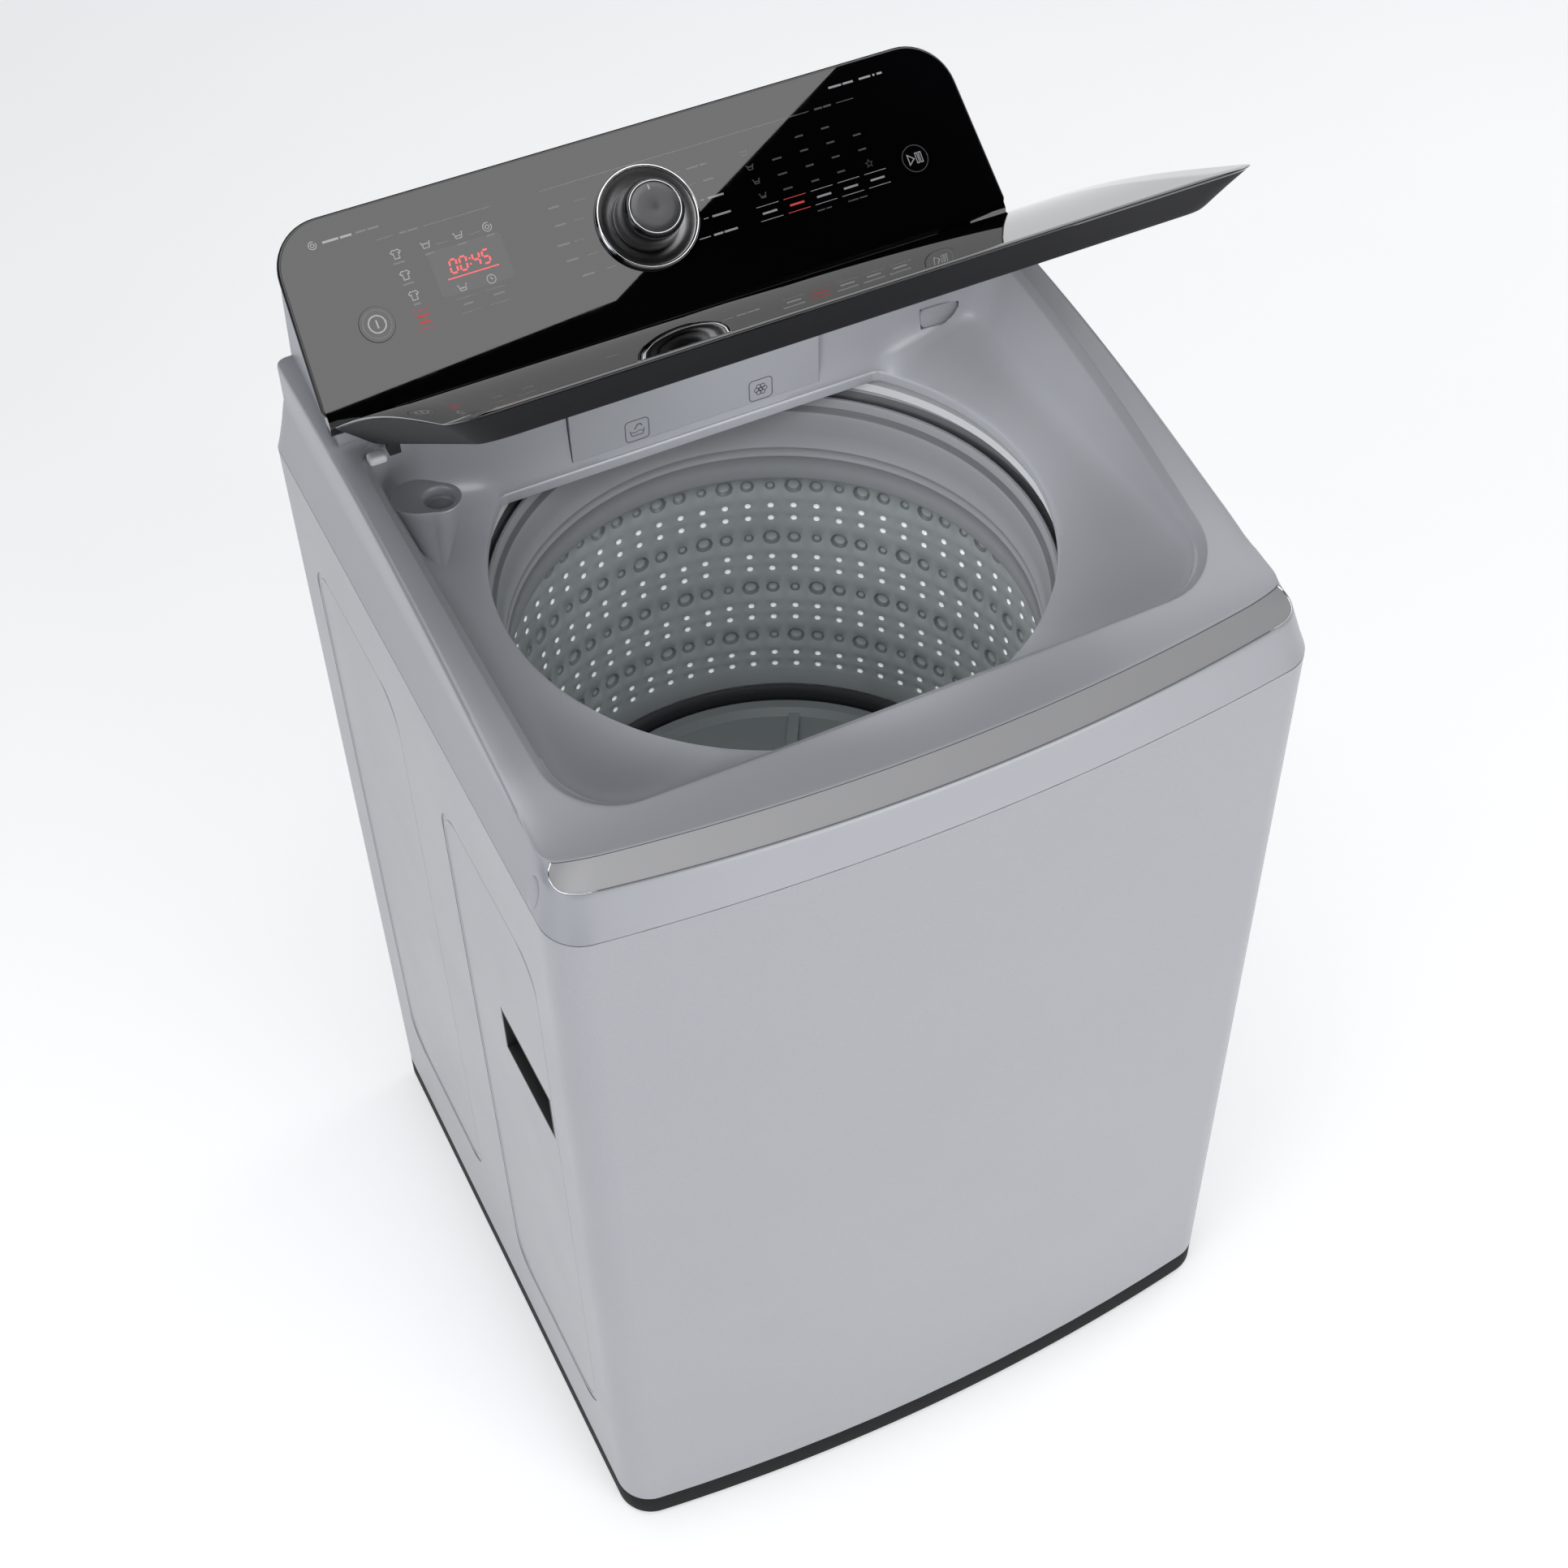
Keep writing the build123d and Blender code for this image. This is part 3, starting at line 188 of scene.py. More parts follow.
MATERIALS = {
    "cabinet": silver_paint("silver_paint", SILVER, 0.38),
    "cover": surface("cover_plastic", COVER, 0.36, 0.15, coat=0.1, mottle=0.02, depth=0.015),
    "console": surface("console_plastic", COVER, 0.4, 0.15, mottle=0.02),
    "trim": surface("trim_satin", (0.335, 0.333, 0.34), 0.45, 0.2, mottle=0.02, grain=2600,
                    depth=0.006, rough_swing=0.02),
    "edge": surface("bright_edge", (0.82, 0.82, 0.84), 0.14, 1.0, mottle=0.02),
    "black": surface("black_plastic", (0.024, 0.024, 0.026), 0.5, mottle=0.15, depth=0.05),
    "lid": surface("lid_frame_black", (0.014, 0.014, 0.016), 0.62, mottle=0.1, depth=0.03,
                   specular=0.12),
    "gloss": surface("gloss_black", (0.002, 0.002, 0.0025), 0.012, mottle=0.2, **GLASSY),
    "window": surface("smoked_window", (0.03, 0.03, 0.032), 0.02, mottle=0.2, **GLASSY),
    "plinth": surface("plinth_black", (0.011, 0.011, 0.012), 0.7, mottle=0.1, depth=0.05,
                      specular=0.15),
    "chrome": surface("polished_chrome", (0.78, 0.78, 0.8), 0.07, 1.0, mottle=0.03,
                      rough_swing=0.02, depth=0.004),
    "dish": surface("dark_chrome", (0.36, 0.36, 0.37), 0.34, 1.0, mottle=0.05, grain=700,
                    stretch=(1, 1, 0.1)),
    "knob": surface("knob_gloss", (0.01, 0.01, 0.012), 0.12, coat=0.6, mottle=0.15),
    "knob_top": surface("knob_top", (0.12, 0.12, 0.124), 0.42, 0.5, mottle=0.05, grain=900,
                        stretch=(0.1, 1, 1)),
    "drum": surface("drum_steel", (0.47, 0.5, 0.51), 0.42, 0.2, mottle=0.1, grain=1300,
                    depth=0.05, rough_swing=0.08, stretch=(1, 1, 0.4), slow=12.0),
    # the holes' pale glowing fill is painted light, standing in for brightness seen through them
    "rim": painted_glow("hole_rim_painted_glow", (0.85, 0.87, 0.88), 0.22),
    # darker steel for the dimples' slopes is painted shade
    "drum_shade": surface("drum_steel_painted_shade", (0.27, 0.29, 0.295), 0.32, 0.4, mottle=0.1,
                          grain=1300, depth=0.03),
    "ring": surface("ring_plastic", (0.31, 0.315, 0.335), 0.4, 0.1, coat=0.1, mottle=0.03),
    # a dark band painted into the ring's groove and crease: painted shade
    "ring_painted_shade": surface("ring_groove_painted_shade", (0.14, 0.145, 0.155), 0.4, 0.1, mottle=0.05),
    "pulsator": surface("pulsator_plastic", (0.2, 0.215, 0.22), 0.35, 0.2, mottle=0.06),
    "pulsator_rim": surface("pulsator_rim", (0.045, 0.047, 0.05), 0.3, 0.2, mottle=0.1),
    "tub": surface("tub_plastic", (0.6, 0.61, 0.63), 0.45, mottle=0.04, depth=0.06),
    "drawer": surface("drawer_plastic", (0.5, 0.51, 0.54), 0.45, mottle=0.03),
    "zinc": surface("zinc_sheet", (0.5, 0.51, 0.52), 0.4, 0.9, mottle=0.12, slow=40.0),
    "steel": surface("bright_steel", (0.55, 0.56, 0.57), 0.28, 1.0, mottle=0.06,
                     stretch=(1, 1, 0.05)),
    "cast": surface("cast_metal", (0.42, 0.42, 0.43), 0.55, 0.8, mottle=0.08, grain=400,
                    depth=0.2),
    "motor": surface("motor_enamel", (0.03, 0.03, 0.034), 0.45, mottle=0.1, depth=0.08),
    "belt": surface("belt_rubber", (0.012, 0.012, 0.012), 0.75, mottle=0.15, depth=0.1),
    "board": surface("circuit_board", (0.02, 0.12, 0.05), 0.4, mottle=0.15),
    "valve": surface("valve_plastic", (0.65, 0.66, 0.67), 0.5, mottle=0.05, depth=0.08),
    "print": surface("printed_mark", (0.5, 0.5, 0.51), 0.03, mottle=0.03, **GLASSY),
    "print_dim": surface("printed_mark_dim", (0.13, 0.13, 0.135), 0.03, mottle=0.05, **GLASSY),
    "print_red": glowing("printed_mark_red", (0.8, 0.05, 0.05), 0.45),
    "digits": glowing("display_digits", (1.0, 0.1, 0.1), 1.5),
    "icon": surface("moulded_icon", (0.09, 0.095, 0.105), 0.45, mottle=0.05),
}

NODE_FINISH = {
    "cabinet": ["cabinet_wrap", "rear_panel", "side_cap_left", "side_cap_right"],
    "cover": ["top_cover", "drawer_front", "lid_lock"],
    "console": ["console_housing"],
    "trim": ["front_trim"],
    "black": ["base_frame", "grip_left", "grip_right", "hinge_bracket_left", "cord_gland",
              "hinge_bracket_right", "drain_elbow", "dispenser_housing", "foot_1", "foot_2",
              "foot_3", "foot_4"],
    "lid": ["lid_frame"],
    "gloss": ["console_facia", "lid_glass", "power_button", "start_button"],
    "window": ["display_window"],
    "dish": ["dial_bezel"],
    "knob": ["dial_knob"],
    "drum": ["drum_wall"],
    "ring": ["balance_ring"],
    "pulsator": ["pulsator", "drum_base", "pulsator_cap"],
    "tub": ["outer_tub", "tub_cover"],
    "drawer": ["drawer_tray"],
    "zinc": ["base_cover", "corner_brackets", "support_plate"],
    "steel": ["rear_screws", "drive_shaft", "tub_bearing", "motor_pulley"]
    + [f"suspension_{part}_{i}" for part in ("rod", "spring") for i in range(1, 5)],
    "cast": ["clutch_housing", "drum_pulley"],
    "motor": ["motor"],
    "belt": ["drive_belt"],
    "board": ["control_board"],
    "valve": ["inlet_valve", "drain_pump"],
}


def finish_nodes():
    """Give every CAD node its material."""
    for finish, names in NODE_FINISH.items():
        for name in names:
            data = NODES[name].data
            data.materials.clear()
            data.materials.append(MATERIALS[finish])


# ------------------------------------------------------------------ mesh helpers
def linked(name, data):
    """A new object in the scene for a mesh, curve, lamp or camera."""
    made = bpy.data.objects.new(name, data)
    bpy.context.scene.collection.objects.link(made)
    return made


def mesh_object(name, points, faces):
    """A mesh object from points in metres."""
    data = bpy.data.meshes.new(name)
    data.from_pydata([tuple(p) for p in points], [], faces)
    return linked(name, data)


def evaluated_mesh(made):
    """A new mesh of an object with its modifiers applied."""
    return bpy.data.meshes.new_from_object(
        made.evaluated_get(bpy.context.evaluated_depsgraph_get()))


def shaded_smooth(made):
    """Shade every face of a mesh object smoothly."""
    made.data.polygons.foreach_set("use_smooth", [True] * len(made.data.polygons))


def placed(made, finish, body, replaced=()):
    """Give a piece its material, the CAD body that it rides on and the nodes it stands for."""
    made.data.materials.clear()
    made.data.materials.append(MATERIALS[finish])
    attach(made, body)
    if replaced:
        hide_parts(*replaced)
    return made


def piece(name, points, faces, finish, body, replaced=(), smooth=True):
    """A mesh piece from points in metres that rides on a CAD body."""
    made = mesh_object(name, points, faces)
    made.data.validate()
    made.data.update()
    if smooth:
        shaded_smooth(made)
    return placed(made, finish, body, replaced)


@contextmanager
def edited(made):
    """A piece's mesh as a bmesh, written back afterwards."""
    mesh = bmesh.new()
    mesh.from_mesh(made.data)
    yield mesh
    mesh.to_mesh(made.data)
    mesh.free()


def weld(made, outwards=True):
    """Merge coincident vertices and, unless told not to, point every face outwards."""
    with edited(made) as mesh:
        bmesh.ops.remove_doubles(mesh, verts=mesh.verts, dist=WELD)
        if outwards:
            bmesh.ops.recalc_face_normals(mesh, faces=mesh.faces)
    return made


def smooth_by_angle(made, limit):
    """Mark edges sharper than an angle in degrees, so that the rest shade smoothly."""
    with edited(made) as mesh:
        for edge in mesh.edges:
            if len(edge.link_faces) == 2:
                edge.smooth = edge.calc_face_angle(0) < math.radians(limit)
        for face in mesh.faces:
            face.smooth = True


def bevelled(made, width, angle):
    """Round the edges of a CAD node that are sharper than an angle in degrees."""
    join = made.modifiers.new("join", "WELD")
    join.merge_threshold = WELD
    bevel = made.modifiers.new("bevel", "BEVEL")
    bevel.width = width * MM
    bevel.segments = 3
    bevel.limit_method = "ANGLE"
    bevel.angle_limit = math.radians(angle)
    bevel.harden_normals = True
    bevel.use_clamp_overlap = True
    normals = made.modifiers.new("normals", "WEIGHTED_NORMAL")
    normals.keep_sharp = True


def lofted(name, loops, finish, body, replaced=(), capped=True, sharp=None):
    """A closed solid through loops of points in metres, capped or joined end to end.

    Edges sharper than sharp degrees stay sharp.
    """
    rows = len(loops)
    around = len(loops[0])
    faces = []
    if capped:
        faces.append(tuple(reversed(range(around))))
        faces.append(tuple(range((rows - 1) * around, rows * around)))
    for j in range(rows - 1 if capped else rows):
        near = j * around
        far = (j + 1) % rows * around
        for i in range(around):
            after = (i + 1) % around
            faces.append((near + i, near + after, far + after, far + i))
    made = piece(name, [p for loop in loops for p in loop], faces, finish, body, replaced)
    weld(made)
    if sharp:
        smooth_by_angle(made, sharp)
    return made


def circle(steps):
    """The cosine and sine of evenly spaced angles round one turn."""
    angles = [2 * math.pi * i / steps for i in range(steps)]
    return [(math.cos(angle), math.sin(angle)) for angle in angles]


def turned(name, profile, steps, place, finish, body, replaced=(), sharp=None):
    """A closed ring or disc turned about an axis, from (radius, height) points in mm.

    place maps a point in metres from the turning axis's own frame to the CAD frame.
    """
    loops = [[place(Vector((radius * c, radius * s, height)) * MM) for radius, height in profile]
             for c, s in circle(steps)]
    return lofted(name, loops, finish, body, replaced, False, sharp)


def bead(path, radius, name, finish, body, closed=False, replaced=()):
    """A thin round bead along a path of points in metres, with its radius in mm."""
    data = bpy.data.curves.new(name, "CURVE")
    data.dimensions = "3D"
    data.bevel_depth = radius * MM
    data.bevel_resolution = 3
    data.use_fill_caps = not closed
    spline = data.splines.new("POLY")
    spline.points.add(len(path) - 1)
    for point, place in zip(spline.points, path):
        point.co = (*place, 1)
    spline.use_cyclic_u = closed
    wire = linked(name, data)
    mesh = evaluated_mesh(wire)
    bpy.data.objects.remove(wire)
    made = linked(name, mesh)
    shaded_smooth(made)
    return placed(made, finish, body, replaced)


def box_cutter(low, high):
    """A box between two corners, in metres."""
    points = [(x, y, z) for x in (low[0], high[0]) for y in (low[1], high[1])
              for z in (low[2], high[2])]
    faces = [(0, 1, 3, 2), (4, 6, 7, 5), (0, 4, 5, 1), (2, 3, 7, 6), (0, 2, 6, 4), (1, 5, 7, 3)]
    return mesh_object("cutter", points, faces)


def node_cutter(node, x=0.0, y=0.0, z=0.0):
    """A CAD node's box as a cutter, grown on every side by distances in mm."""
    low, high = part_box(node)
    grow = Vector((x, y, z)) * MM
    return box_cutter(low - grow, high + grow)


def carve(made, cutters):
    """Subtract cutters from a piece for good, and drop them."""
    for tool in cutters:
        step = made.modifiers.new("carve", "BOOLEAN")
        step.operation = "DIFFERENCE"
        step.solver = "EXACT"
        step.object = tool
    carved = evaluated_mesh(made)
    made.modifiers.clear()
    made.data = carved
    for tool in cutters:
        bpy.data.objects.remove(tool)


# ------------------------------------------------------------------ facia frame
DIAL = JOINTS["dial_turn"]
DIAL_UP = 61.7  # the dial's centre above the facia's foot
FACIA_NORMAL = Vector(DIAL["axis"]).normalized()
FACIA_RIGHT = Vector((1, 0, 0))
FACIA_UP = FACIA_NORMAL.cross(FACIA_RIGHT).normalized()
FACIA_CENTRE = Vector(DIAL["pos_m"])


def on_facia(x, y, lift=0.0):
    """A point on the facia: x and y in mm from the dial's centre, lift in mm off the surface."""
    return FACIA_CENTRE + (FACIA_RIGHT * x + FACIA_UP * y + FACIA_NORMAL * lift) * MM


def facia_place(p):
    """Turn a point in metres of the facia's own frame into the CAD frame."""
    return FACIA_CENTRE + FACIA_RIGHT * p.x + FACIA_UP * p.y + FACIA_NORMAL * p.z


def raised(lift):
    """A plane parallel to the facia, at a lift in mm, for a print."""
    return lambda x, y, z: on_facia(x, y, z + lift)


# ------------------------------------------------------------------ flat graphics
def arc(cx, cy, radius, start=0.0, end=360.0, steps=24):
    """Points along an arc, angles in degrees."""
    span = [math.radians(start + (end - start) * i / steps) for i in range(steps + 1)]
    return [(cx + radius * math.cos(a), cy + radius * math.sin(a)) for a in span]


def ribbon(points, width, closed=False):
    """The outline of a stroke: pairs of points left and right of a path, with mitred corners."""
    if closed and points[0] == points[-1]:
        points = points[:-1]
    pairs = []
    count = len(points)
    for i, here in enumerate(points):
        before = points[i - 1] if closed or i > 0 else None
        after = points[(i + 1) % count] if closed or i < count - 1 else None
        here = Vector(here)
        incoming = (here - Vector(before)).normalized() if before else None
        outgoing = (Vector(after) - here).normalized() if after else None
        incoming = incoming or outgoing
        outgoing = outgoing or incoming
        side_in = Vector((-incoming.y, incoming.x))
        side_out = Vector((-outgoing.y, outgoing.x))
        mitre = (side_in + side_out).normalized()
        reach = width / 2 / max(0.5, mitre.dot(side_in))
        pairs.append((here + mitre * reach, here - mitre * reach))
    return pairs


class Print:
    """A thin raised print, gathered from strokes and shapes on one plane."""

    def __init__(self, place, thickness=0.12):
        self.place = place
        self.thickness = thickness  # mm
        self.points = []
        self.faces = []

    def solid(self, outline):
        """A filled convex shape."""
        base = len(self.points)
        count = len(outline)
        for lift in (0.0, self.thickness):
            self.points += [self.place(x, y, lift) for x, y in outline]
        self.faces.append(tuple(base + count + i for i in range(count)))
        for i in range(count):
            j = (i + 1) % count
            self.faces.append((base + i, base + j, base + count + j, base + count + i))

    def stroke(self, points, width, closed=False):
        """A line of even width along a path."""
        pairs = ribbon(points, width, closed)
        base = len(self.points)
        for left, right in pairs:
            for side in (left, right):
                for lift in (0.0, self.thickness):
                    self.points.append(self.place(side.x, side.y, lift))
        count = len(pairs)
        for i in range(count if closed else count - 1):
            a = base + 4 * i
            b = base + 4 * ((i + 1) % count)
            self.faces.append((a + 1, b + 1, b + 3, a + 3))
            self.faces.append((a, b, b + 1, a + 1))
            self.faces.append((a + 3, b + 3, b + 2, a + 2))
        if not closed:
            last = base + 4 * (count - 1)
            self.faces.append((base, base + 1, base + 3, base + 2))
            self.faces.append((last + 2, last + 3, last + 1, last))

    def dash(self, x, y, length, width=0.5):
        """A straight mark along the row."""
        self.stroke([(x, y), (x + length, y)], width)

    def word(self, x, y, lengths, width=1.5, gap=1.0, centred=True):
        """A label drawn as plain dashes in place of letters."""
        whole = sum(lengths) + gap * (len(lengths) - 1)
        start = x - whole / 2 if centred else x
        for length in lengths:
            self.dash(start, y, length, width)
            start += length + gap

    def finish(self, name, finish, body, slot):
        """Make the print's piece."""
        return piece(name, self.points, self.faces, finish, body, smooth=False)


def shirt(sheet, x, y, size=3.0):
    """A small shirt outline."""
    right = [(0.35, 0.9), (0.6, 1.0), (1.15, 0.45), (0.8, 0.1), (0.6, 0.3), (0.6, -1.0)]
    left = [(-px, py) for px, py in reversed(right)]
    path = [(x + px * size, y + py * size) for px, py in right + left]
    sheet.stroke(path, 0.6, closed=True)


def basin(sheet, x, y, level, size=3.0):
    """A wash basin with a water line at a level from 0 to 1."""
    rim = [(-1.2, 0.7), (-0.9, 0.7), (-0.65, -0.6), (0.65, -0.6), (0.9, 0.7), (1.2, 0.7)]
    sheet.stroke([(x + px * size, y + py * size) for px, py in rim], 0.55)
    half = (0.55 + 0.2 * level) * size
    height = y + (-0.35 + 0.8 * level) * size
    wave = [(x - half + 2 * half * i / 8, height + 0.12 * size * (-1) ** i) for i in range(9)]
    sheet.stroke(wave, 0.4)


def clock(sheet, x, y, size=3.0):
    """A clock face with two hands."""
    sheet.stroke(arc(x, y, size), 0.55, closed=True)
    sheet.stroke([(x, y + size * 0.6), (x, y), (x + size * 0.5, y)], 0.5)


def swirl(sheet, x, y, size=3.0):
    """An open ring round a small one."""
    sheet.stroke(arc(x, y, size, 60, 390), 0.55)
    sheet.stroke(arc(x, y, size * 0.45), 0.55, closed=True)


def star(sheet, x, y, size=3.0):
    """A five-pointed star outline."""
    points = []
    for i in range(10):
        radius = size if i % 2 == 0 else size * 0.45
        angle = math.radians(90 + 36 * i)
        points.append((x + radius * math.cos(angle), y + radius * math.sin(angle)))
    sheet.stroke(points, 0.4, closed=True)


SEGMENTS = {"0": "abcdef", "4": "bcfg", "5": "acdfg"}


def digit(sheet, mark, x, y, width=4.6, height=9.0, slant=0.12):
    """One seven-segment digit, centred at x and y."""
    w = width / 2
    h = height / 2
    ends = {
        "a": ((-w, h), (w, h)), "b": ((w, h), (w, 0)), "c": ((w, 0), (w, -h)),
        "d": ((-w, -h), (w, -h)), "e": ((-w, 0), (-w, -h)), "f": ((-w, h), (-w, 0)),
        "g": ((-w, 0), (w, 0)),
    }
    for segment in SEGMENTS[mark]:
        (x0, y0), (x1, y1) = ends[segment]
        start = Vector((x + x0 + slant * y0, y + y0))
        end = Vector((x + x1 + slant * y1, y + y1))
        along = (end - start).normalized() * 0.75
        sheet.stroke([tuple(start + along), tuple(end - along)], 1.15)


def facia_prints():
    """The console's marks: icons, rows of dashes for labels, lines and the time."""
    bright, dim, red, time = (Print(on_facia) for _ in range(4))

    def up(s):
        """A height above the facia's foot as one above the dial's centre."""
        return s - DIAL_UP

    heading = up(99.5)
    for start, end in ((-182, -169.5), (-149, -101), (-65, 138), (159.5, 173)):
        dim.dash(start, heading, end - start, 0.55)
    dim.word(-159, heading, (5, 7), 1.3)
    dim.word(149, heading, (6, 6), 1.3)

    # the headings at the top corners
    swirl(bright, -223, up(108), 2.6)
    bright.word(-216, up(108), (11, 8), 1.5, 1.2, False)
    dim.word(-193, up(108), (7, 8), 1.5, 1.2, False)
    bright.word(158, up(111), (10, 8), 1.4, 1.2, False)
    bright.word(182, up(111), (9, 1.5, 4), 1.4, 1.8, False)

    # the wash type block beside the display
    shirt(bright, -172.5, up(87))
    shirt(bright, -171.5, up(72))
    shirt(bright, -170.8, up(57.5))
    swirl(bright, -107.7, up(87))
    basin(bright, -151.4, up(87), 0.9)
    basin(bright, -128.3, up(87), 0.4)
    basin(bright, -137.8, up(53), 0.4)
    clock(bright, -117.4, up(53))
    for x in (-145, -122):
        dim.dash(x, up(85.5), 9, 0.5)
    for x, s, lengths in ((-172.5, 81, (8,)), (-171.5, 66, (8,)), (-170.8, 51.5, (5,)),
                          (-151, 81, (6,)), (-128, 81, (7,)), (-107.5, 81, (6,)),
                          (-138, 42, (7,)), (-116, 42.3, (8,))):
        dim.word(x, up(s), lengths, 1.3)
    for x, s in ((-145, 46.5), (-124, 46.5), (-145, 36.5), (-124, 36.5)):
        dim.dash(x, up(s), 14, 0.45)
    for s in (47, 34.5):
        red.dash(-176.5, up(s), 12.5, 0.4)
    red.word(-170, up(43), (8,), 1.5)
    red.word(-170, up(38.8), (7,), 1.5)

    # the time display
    for mark, x in zip("0045", (-138.6, -131.6, -122.4, -115.4)):
        digit(time, mark, x, up(68.5))
    for dy in (-1.9, 1.9):
        time.dash(-127.3 + 0.12 * dy, up(68.5) + dy, 1.0, 1.0)
    time.dash(-145.5, up(60.8), 36.5, 0.6)

    # the programme ring
    for s, x0, label in ((86.5, -45, -59.5), (74, -49.3, -59.5), (60.7, -54.4, -62),
                         (49.2, -48.6, -60), (36.8, -40, -53)):
        dim.dash(x0, up(s), 9 if s > 80 else 7.5, 0.5)
        dim.word(label, up(s), (9,) if s < 70 else (8,), 1.4)
    for s, x0, label in ((85.5, 27.5, 46), (74.4, 35.1, 51)):
        dim.dash(x0, up(s), 6.5, 0.5)
        dim.word(label, up(s), (9, 5) if s > 80 else (8,), 1.4)
    for s, x0, length, words in ((62.2, 40, 3, (12,)), (49.4, 38, 3.5, (14,)),
                                 (36.9, 29.9, 8.5, (7, 10))):
        bright.dash(x0, up(s), length, 0.6)
        bright.word(x0 + length + 3 + sum(words) / 2, up(s), words, 1.4)

    # the option grid
    for row, s in enumerate((84.5, 73.9, 63.4, 52.8)):
        basin(dim, 82 + 0.9 * row, up(s), 1 - 0.28 * row, 2.4)
    grid = ((103.7, (74.5, 63.4, 52.6)), (124.8, (84.9, 74.6, 63.4, 52.3)),
            (145.3, (85.3, 74.5, 63.9, 53)), (166, (74.3, 63.4)))
    for x, rows in grid:
        for s in rows:
            dim.word(x, up(s), (6,) if x > 120 else (7,), 1.2)
    star(dim, 167.2, up(52.6), 2.8)
    for i in range(5):
        x = 85.2 + 21 * i
        sheet = red if i == 1 else bright
        sheet.word(x, up(40.8), (11,), 1.4)
        for s in (46, 36):
            sheet.dash(x - 8.5, up(s), 17, 0.4)
    dim.word(124, up(31.5), (6, 4), 0.9)
    dim.word(150, up(31.5), (8, 6), 0.9)

    for sheet, name, finish in (
            (bright, "facia_marks_bright", "print"), (dim, "facia_marks_dim", "print_dim"),
            (red, "facia_marks_red", "print_red"), (time, "display_time", "digits")):
        sheet.finish(name, finish, "cabinet", "gloss_black")


def button_prints():
    """The round marks on the two console keys."""
    for name in ("power", "start"):
        corners = [v.co for v in NODES[name + "_button"].data.vertices]
        top = max((p - FACIA_CENTRE).dot(FACIA_NORMAL) for p in corners)
        face = [p for p in corners if (p - FACIA_CENTRE).dot(FACIA_NORMAL) > top - 0.1 * MM]
        x = sum(p.x for p in face) / len(face) / MM
        y = sum((p - FACIA_CENTRE).dot(FACIA_UP) for p in face) / len(face) / MM
        sheet = Print(raised(top / MM))
        faint = Print(raised(top / MM))
        faint.stroke(arc(x, y, 9.6, steps=48), 0.5, closed=True)
        if name == "power":
            sheet.stroke(arc(x, y, 5.8, steps=40), 1.0, closed=True)
            sheet.stroke([(x, y - 2.9), (x, y + 2.9)], 1.1)
        else:
            sheet.stroke([(x - 5.2, y + 3.6), (x - 5.2, y - 3.6), (x - 0.8, y)], 0.8, closed=True)
            for k in (1.6, 4.4):
                sheet.stroke([(x + k - 0.8, y - 3.6), (x + k - 0.8, y + 3.6),
                              (x + k + 0.8, y + 3.6), (x + k + 0.8, y - 3.6)], 0.6, closed=True)
        sheet.finish(name + "_mark", "print", name + "_key", "gloss_black")
        faint.finish(name + "_ring", "print_dim", name + "_key", "gloss_black")


# ------------------------------------------------------------------ dial
def smooth_profile(points, rounds=2):
    """Cut the corners of a closed profile to round it."""
    for _ in range(rounds):
        cut = []
        for i, here in enumerate(points):
            after = points[(i + 1) % len(points)]
            for t in (0.25, 0.75):
                cut.append(tuple(a + (b - a) * t for a, b in zip(here, after)))
        points = cut
    return points


def dial():
    """The bright rim and dark dish, and the knob with its flange, grip and cap."""
    rim = [(37, 0), (37, 3.4), (35.6, 5), (34, 4.4), (33.6, 3), (35, 0)]
    dish = [(4.06, -3), (26, -3), (30, -1), (34.2, 3.6), (34.8, 0), (33, -6), (9, -10),
            (9, -18), (4.06, -18)]
    knob = [(0.01, -2.4), (23.4, -2.4), (23.5, 1.5), (22.6, 3.8), (21.6, 8), (21.2, 22),
            (20.4, 24.6), (18.8, 25.4), (18.2, 24.6), (0.01, 24.4)]
    cap = [(0.01, 24.4), (17.2, 24.4), (17.2, 25.2), (16.4, 25.9), (0.01, 26)]
    band = [(17.3, 24.6), (18.7, 24.6), (18.5, 25.7), (17.5, 25.7)]
    for name, profile, rounds, finish in (("dial_rim", rim, 3, "chrome"),
                                          ("dial_dish", dish, 1, "dish")):
        turned(name, smooth_profile(profile, rounds), 96, facia_place, finish, "cabinet",
               ("dial_bezel",))
    for name, profile, rounds, finish in (("dial_grip", knob, 2, "knob"),
                                          ("dial_cap", cap, 1, "knob_top"),
                                          ("dial_band", band, 2, "chrome")):
        turned(name, smooth_profile(profile, rounds), 96, facia_place, finish, "dial",
               ("dial_knob",))
    pointer = Print(raised(25.9), 0.15)
    pointer.stroke([(0, 12.2), (0, 15.6)], 1.0)
    pointer.finish("dial_pointer", "print", "dial", "dial")


# ------------------------------------------------------------------ outlines seen from above
SHELL_MID = (0.0, -20.0)
SHELL_CORNERS = ((250, -205), (238, 225), (205, -150), (215, 118))
CABINET_PLAN = (270, -250.7, 20.7, 250.7, 28, 7)


def corner_angles(middle, corners):
    """Sampling angles round a point, closer together towards the corners on both sides."""
    angles = [math.radians(1.25 * i) for i in range(288)]
    for x, y in corners:
        for side in (-1, 1):
            towards = math.atan2(y - middle[1], side * x - middle[0])
            angles += [towards + math.radians(0.45 * k) for k in range(-18, 19)]
    angles = sorted(angle % (2 * math.pi) for angle in angles)
    kept = [angles[0]]
    for angle in angles[1:]:
        if angle - kept[-1] > math.radians(0.2):
            kept.append(angle)
    return np.array(kept)


